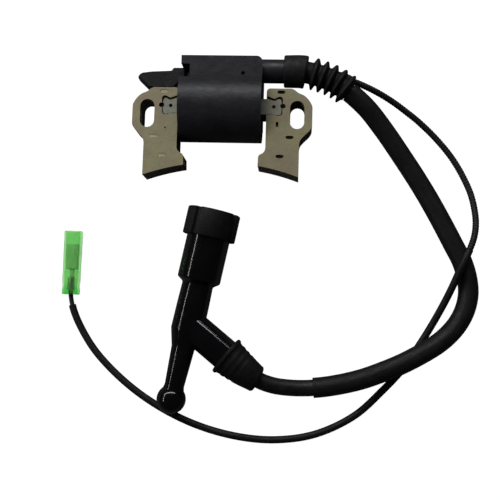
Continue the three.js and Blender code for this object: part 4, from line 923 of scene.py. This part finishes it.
def remade(node, width, finish, body="coil", segments=2):
    """A fresh piece of a node's own shape, its edges rounded and its material made for it."""
    source = next(o for o in bpy.data.objects if o.name == node)
    work = bmesh.new()
    work.from_mesh(source.data)
    work.transform(source.matrix_world)
    bmesh.ops.remove_doubles(work, verts=work.verts, dist=2e-6)
    bmesh.ops.dissolve_limit(work, angle_limit=math.radians(2), verts=work.verts, edges=work.edges)
    bmesh.ops.recalc_face_normals(work, faces=work.faces)
    mesh = bpy.data.meshes.new(node + "_shape")
    work.to_mesh(mesh)
    work.free()
    piece = bpy.data.objects.new(node + "_shape", mesh)
    bpy.context.scene.collection.objects.link(piece)
    softened(piece, width, segments)
    dress(piece, finish, body)
    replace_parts(piece, node)
    return piece


remade("stop_terminal_blade", 0.15, brass)
remade("stop_receptacle", 0.25, tin, "terminal")


# ---------- Windings and ignition module ----------
# Inside the case: a primary coil of coarse enamelled wire, a secondary in four narrow sections on a
# flanged bobbin, and the small circuit board that switches them. All are cast into black resin.
moulding = Finish("bobbin_plastic", (0.30, 0.26, 0.19), 0.45)
moulding.tint(moulding.noise(4), (0.22, 0.19, 0.14), 0.8)
moulding.tint(moulding.edges(0.25), (0.42, 0.38, 0.3), 0.6)
moulding.rough(moulding.noise(2), 0.6)
moulding.bump(moulding.noise(0.4), 0.02)
for node in ("primary_bobbin", "secondary_bobbin"):
    remade(node, 0.12, moulding)
enamel = Finish("enamelled_copper", (0.45, 0.13, 0.035), 0.28, Metallic=0.8, Coat_Weight=0.5)
turn_pitch, waves_per_scale = 0.62, 0.314
turns = enamel.node("ShaderNodeTexWave", {
    "Vector": enamel.place(), "Scale": 1 / (turn_pitch * MM) * waves_per_scale, "Distortion": 0.4},
    wave_type="BANDS", bands_direction="X", wave_profile="SIN").outputs["Fac"]
enamel.tint(turns, (0.62, 0.22, 0.07), 0.7)
enamel.tint(enamel.noise(3), (0.30, 0.08, 0.02), 0.6)
enamel.rough(enamel.noise(1.5), 0.42)
enamel.bump(turns, 0.12)
for node in ("primary_winding", *(f"secondary_winding_{i}" for i in range(1, 5))):
    remade(node, 0.15, enamel)
laminate = Finish("circuit_board", (0.03, 0.14, 0.06), 0.35)
laminate.tint(laminate.noise(0.6, 4, (1, 1, 3)), (0.02, 0.09, 0.04), 0.8)
laminate.tint(laminate.edges(0.2), (0.32, 0.34, 0.18), 0.8)
laminate.rough(laminate.noise(1.2), 0.5)
laminate.bump(laminate.noise(0.5), 0.015)
remade("module_board", 0.1, laminate)
body_resin = Finish("component_body", (0.02, 0.02, 0.022), 0.5)
body_resin.tint(body_resin.noise(0.8, 4), (0.045, 0.045, 0.048), 0.8)
body_resin.tint(body_resin.edges(0.3), (0.1, 0.1, 0.1), 0.6)
body_resin.rough(body_resin.noise(0.9), 0.65)
body_resin.bump(body_resin.noise(0.15), 0.015)
remade("power_transistor", 0.35, body_resin)
fired = Finish("fired_ceramic", (0.48, 0.33, 0.17), 0.5)
fired.tint(fired.noise(1.0, 4), (0.36, 0.23, 0.11), 0.8)
fired.tint(fired.edges(0.3), (0.62, 0.48, 0.3), 0.5)
fired.rough(fired.noise(0.8), 0.62)
fired.bump(fired.noise(0.2), 0.02)
remade("module_capacitor", 0.4, fired)
remade("module_resistor", 0.3, fired)
remade("earth_strip", 0.12, brass)
remade("ht_contact_pin", 0.2, brass)
casting = Finish("cast_resin", (0.016, 0.014, 0.012), 0.2, Coat_Weight=0.3)
casting.tint(casting.noise(7), (0.03, 0.026, 0.022), 0.8)
casting.tint(casting.noise(0.5, 2, low=0.64, high=0.72), (0.09, 0.085, 0.08), 0.5)
casting.rough(casting.noise(3), 0.38)
casting.bump(casting.noise(6, 2), 0.2)
casting.bump(casting.noise(0.5), 0.015)
remade("potting_resin", 0.2, casting, segments=1)


# ---------- Stop connector ----------
# A soft sleeve of clear green vinyl over a tinned socket. The vinyl is drawn tight round the crimp
# at the wire's end, where its colour is deepest, and its open end is cut off square.
cover_low, cover_high = (np.array(c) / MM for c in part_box("connector_cover"))
cover_middle = (cover_low + cover_high) / 2
cover_half = (cover_high - cover_low) / 2
cover_wall, cover_sides, cover_squareness = 0.8, 48, 3.6


def cover_ring(share, inset, y):
    """A rounded oblong ring of the cover, drawn in a little near the wire's end."""
    waist = 1 - 0.06 * math.exp(-((share - 0.13) / 0.05)**2) - 0.03 * (1 - share)
    wide, high = cover_half[0] * waist - inset, cover_half[2] * waist - inset
    ring = []
    power = 2 / cover_squareness
    for k in range(cover_sides):
        turn = 2 * math.pi * k / cover_sides
        across, up = math.cos(turn), math.sin(turn)
        ring.append((cover_middle[0] + wide * math.copysign(abs(across)**power, across), y,
                     cover_middle[2] + high * math.copysign(abs(up)**power, up)))
    return ring


cover_shares = np.linspace(0, 1, 60)
rings = [cover_ring(s, 0.0, cover_low[1] + s * 2 * cover_half[1]) for s in cover_shares]
rings[0] = cover_ring(0, 0.15, cover_low[1])
rings[-1] = cover_ring(1, 0.15, cover_high[1])
rings += [cover_ring(s, cover_wall, cover_low[1] + s * 2 * cover_half[1]) for s in reversed(cover_shares)]
cover_points = [point for ring in rings for point in ring]
cover_faces = []
for k in range(len(rings)):
    for j in range(cover_sides):
        a, b = k * cover_sides, (k + 1) % len(rings) * cover_sides
        cover_faces.append((a + j, a + (j + 1) % cover_sides, b + (j + 1) % cover_sides, b + j))
cover = finished_mesh("connector_sleeve", cover_points, cover_faces, sharp=60)
green = Finish("clear_green_vinyl", (0.40, 0.76, 0.35), 0.12, Transmission_Weight=0.92, IOR=1.16)
depth_along = green.node("ShaderNodeSeparateXYZ", {0: green.node("ShaderNodeTexCoord").outputs["Object"]})
near_wire = green.node("ShaderNodeMapRange", {
    "Value": depth_along.outputs["Y"],
    "From Min": (cover_low[1] + 5.0) * MM, "From Max": (cover_low[1] + 2.5) * MM}).outputs["Result"]
green.tint(near_wire, (0.16, 0.66, 0.18), 0.9)
green.tint(green.noise(5, 2), (0.33, 0.72, 0.30), 0.5)
green.rough(green.noise(3), 0.2)
green.bump(green.noise(3, 1), 0.03)
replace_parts(dress(cover, green, "cover"), "connector_cover")
remade("connector_terminal", 0.2, tin)


# ---------- Plug cap body ----------
# A hard, glossy phenolic moulding: a wide mouth, a stem with a side branch for the lead, and a tail
# ending in a knob to pull on. The branch grows out of the stem with a small fillet.
cap_turn, cap_up, branch_lap = math.radians(11.3), 0.03, 12.3
mouth_way = Vector((math.sin(cap_turn), math.cos(cap_turn), cap_up)).normalized()
lead_tip = Vector(ht_line.frame_at(ht_line.length)[0])
branch_way = Vector((0.7841, -0.6205, 0.0)).normalized()
across_way = (branch_way - branch_way.dot(mouth_way) * mouth_way).normalized()
below_way = mouth_way.cross(across_way)
cap_frame = Matrix((across_way, below_way, mouth_way)).transposed().to_4x4()
cap_frame.translation = (lead_tip - branch_lap * branch_way) * MM
branch_local = np.array((branch_way.dot(across_way), 0, branch_way.dot(mouth_way)))
mouth_end, seal_length, seal_radius, seal_rim = 56.3, 13.5, 13.0, 1.8
body_radius, body_length, stem_radius = 10.6, 34.6, 7.6
branch_radius, branch_length = 7.75, 31.0
body_end, shoulder, tail_top, tail_length = mouth_end - seal_rim, mouth_end - body_length, -12.0, 20.2
knob_top = tail_top - tail_length


def turned(name, outline, sides=96, sharp=35):
    """A round piece on the cap's own axis: its outline is [distance from the crossing, radius]."""
    points = [(r * math.cos(2 * math.pi * k / sides), r * math.sin(2 * math.pi * k / sides), z)
              for z, r in outline for k in range(sides)]
    faces = [(i + k, i + (k + 1) % sides, i + sides + (k + 1) % sides, i + sides + k)
             for i in range(0, sides * (len(outline) - 1), sides) for k in range(sides)]
    return finished_mesh(name, points, faces, sharp=sharp)


ball_radius, ball_from_top = 7.1, 5.2
cap_outline = (
    [(body_end, 0)] + rounded([
        (body_end, 6), (body_end, body_radius), (shoulder, body_radius), (shoulder - 2.1, stem_radius),
        (10, stem_radius + 0.25), (-3.4, stem_radius + 0.4), (tail_top, 5.7), (-20, 5.3),
        (knob_top + 1.5, 4.75), (knob_top - 1.2, 5.4)], 0.7, 5)
    + arc((knob_top - ball_from_top, 0), ball_radius, 43, 180, 18)
)
cap_outline[-1] = (cap_outline[-1][0], 0)
cap_body = turned("cap_moulding", cap_outline)
branch = cylinder("cap_branch", branch_radius, (0, 0, 0), branch_local * branch_length, 96)
cap_body = shaped(cap_body, [branch], "UNION")
cap_body = shaped(cap_body, [
    cylinder("plug_bore", 6.6, (0, 0, 43), (0, 0, 60)),
    cylinder("clip_bore", 4.6, (0, 0, 31), (0, 0, 44)),
    cylinder("stem_bore", 3.6, (0, 0, -2), (0, 0, 31.6)),
    cylinder("screw_bore", 2.4, branch_local * -1, branch_local * branch_lap, 32),
    cylinder("lead_bore", 4.4, branch_local * (branch_lap - 0.3), branch_local * (branch_length + 1)),
])
softened(cap_body, 0.35, 3, 28)
moved(cap_body, cap_frame)
gloss = Finish("phenolic", (0.0015, 0.0015, 0.002), 0.1, Specular_IOR_Level=0.5)
gloss.tint(gloss.noise(8), (0.003, 0.003, 0.004), 0.8)
gloss.tint(gloss.noise(0.3, 2, low=0.68, high=0.78), (0.02, 0.02, 0.023), 0.3)
gloss.rough(gloss.noise(3), 0.14)
gloss.rough(gloss.noise(0.7, 2, (1, 1, 1), low=0.6, high=0.72), 0.26, 0.5)
gloss.bump(gloss.noise(9, 1), 0.015)
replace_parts(dress(cap_body, gloss), "cap_body")


# ---------- Plug seal ----------
# A rubber collar over the cap's mouth, with four finger grips parted by grooves along it and a thin
# lip turned in over the end.
groove_turn, groove_spacing, groove_floor, groove_side, groove_cut = 29, 90, 2.6, 4.0, 1.6


def groove_depth(turn):
    """How deep a groove cuts at an angle from the top towards the branch, in degrees."""
    off = abs((turn + groove_turn + groove_spacing / 2) % groove_spacing - groove_spacing / 2)
    return groove_cut * (1 - min(1, max(0, (off - groove_floor) / groove_side))**2)


seal_sides = 360
seal_inner = body_radius + 0.2
seal_foot = mouth_end - seal_length
seal_rows = [
    (seal_foot, seal_inner, 0), (seal_foot, seal_radius - 0.5, 1), (seal_foot + 0.15, seal_radius - 0.15, 1),
    (seal_foot + 0.5, seal_radius, 1), (mouth_end - 7, seal_radius, 1), (mouth_end - 0.6, seal_radius, 1),
    (mouth_end - 0.2, seal_radius - 0.15, 1), (mouth_end, seal_radius - 0.55, 1), (mouth_end, 10.6, 0),
    (mouth_end - 0.35, 10.3, 0), (mouth_end - 0.35, 6.2, 0), (mouth_end - 0.6, 5.8, 0),
    (mouth_end - 1.2, 5.7, 0), (body_end + 0.2, 5.8, 0), (body_end + 0.2, seal_inner, 0),
    (seal_foot, seal_inner, 0),
]
seal_points, seal_faces = [], []
for z, r, lobed in seal_rows:
    for k in range(seal_sides):
        turn = 360 * k / seal_sides
        radius = r - lobed * groove_depth(turn)
        a = math.radians(turn)
        seal_points.append((radius * math.sin(a), -radius * math.cos(a), z))
for i in range(len(seal_rows) - 1):
    for k in range(seal_sides):
        a, b = i * seal_sides, (i + 1) * seal_sides
        seal_faces.append((a + k, a + (k + 1) % seal_sides, b + (k + 1) % seal_sides, b + k))
plug_seal = finished_mesh("plug_collar", seal_points, seal_faces, sharp=38)
moved(plug_seal, cap_frame)
seal_rubber = Finish("seal_rubber", (0.003, 0.003, 0.0032), 0.5, Specular_IOR_Level=0.3)
seal_rubber.tint(seal_rubber.noise(6), (0.006, 0.006, 0.0062), 0.8)
seal_rubber.tint(seal_rubber.noise(0.35, 2, low=0.64, high=0.76), (0.035, 0.035, 0.037), 0.4)
seal_rubber.rough(seal_rubber.noise(2), 0.68)
seal_rubber.bump(seal_rubber.noise(0.3, 2), 0.02)
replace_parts(dress(plug_seal, seal_rubber), "cap_plug_seal")


# ---------- Cable seal ----------
# A tapered rubber boot over the branch's end and the lead, with a wide lip at the branch and three
# shallow rings. It takes the bend of the lead as its strain relief.
cable_lap, cable_length, cable_run_in = 7.6, 19.6, 6
seal_from = branch_length - cable_lap - branch_lap
cable_line = Line([
    *[tuple((lead_tip + branch_way * ahead) * MM) for ahead in (-cable_run_in, 0, cable_run_in)],
    *[tuple(ht_line.frame_at(ht_line.length - back)[0] * MM)
      for back in (11, 14, 17, 20, 23, 26, 30, 34, 38, 42)],
])
cable_outline = [(0, 8.0), (0, 9.3), (0.35, 9.9), (0.9, 10.0), (1.7, 9.9), (2.1, 9.3), (2.5, 9.15)]
for k in range(3):
    at = 4.6 + 3.0 * k
    root = 9.5 - 0.155 * at
    cable_outline += [
        (at - 1.1, root + 0.04), (at - 0.4, root + 0.12), (at + 0.3, root + 0.13), (at + 0.9, root + 0.02)]
cable_outline += [
    (17.6, 6.75), (19.1, 6.6), (cable_length, 6.1), (cable_length, 4.25), (8.5, 4.25), (8.3, 8.0), (0, 8.0)]
cable_seal = swept("cable_boot", cable_line, [
    (seal_from + cable_run_in + run, radius) for run, radius in cable_outline], 72, 0.8, 45)
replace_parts(dress(cable_seal, seal_rubber), "cap_cable_seal")


# ---------- Parts inside the plug cap ----------
# A brass clip that grips the plug's top, a light steel spring, a ceramic suppressor and the screw
# that bites into the lead's core.
steel = Finish("spring_steel", (0.5, 0.5, 0.5), 0.28, Metallic=1.0)
steel.tint(steel.noise(0.8, 4), (0.36, 0.36, 0.37), 0.7)
steel.tint(steel.edges(0.15), (0.75, 0.75, 0.75), 0.5)
steel.rough(steel.noise(0.5), 0.45)
steel.bump(steel.noise(0.2), 0.01)
remade("cap_terminal_clip", 0.12, brass)
remade("cap_spring", 0.08, steel, segments=1)
remade("cap_resistor", 0.3, fired)
remade("cap_cable_screw", 0.12, brass)


# ---------- Points along the leads ---
# Points along each lead are worked out at even spacing and not kept.
ht_line.stretch(0, ht_line.length, 6)
stop_line.stretch(0.5, stop_line.length, 3)
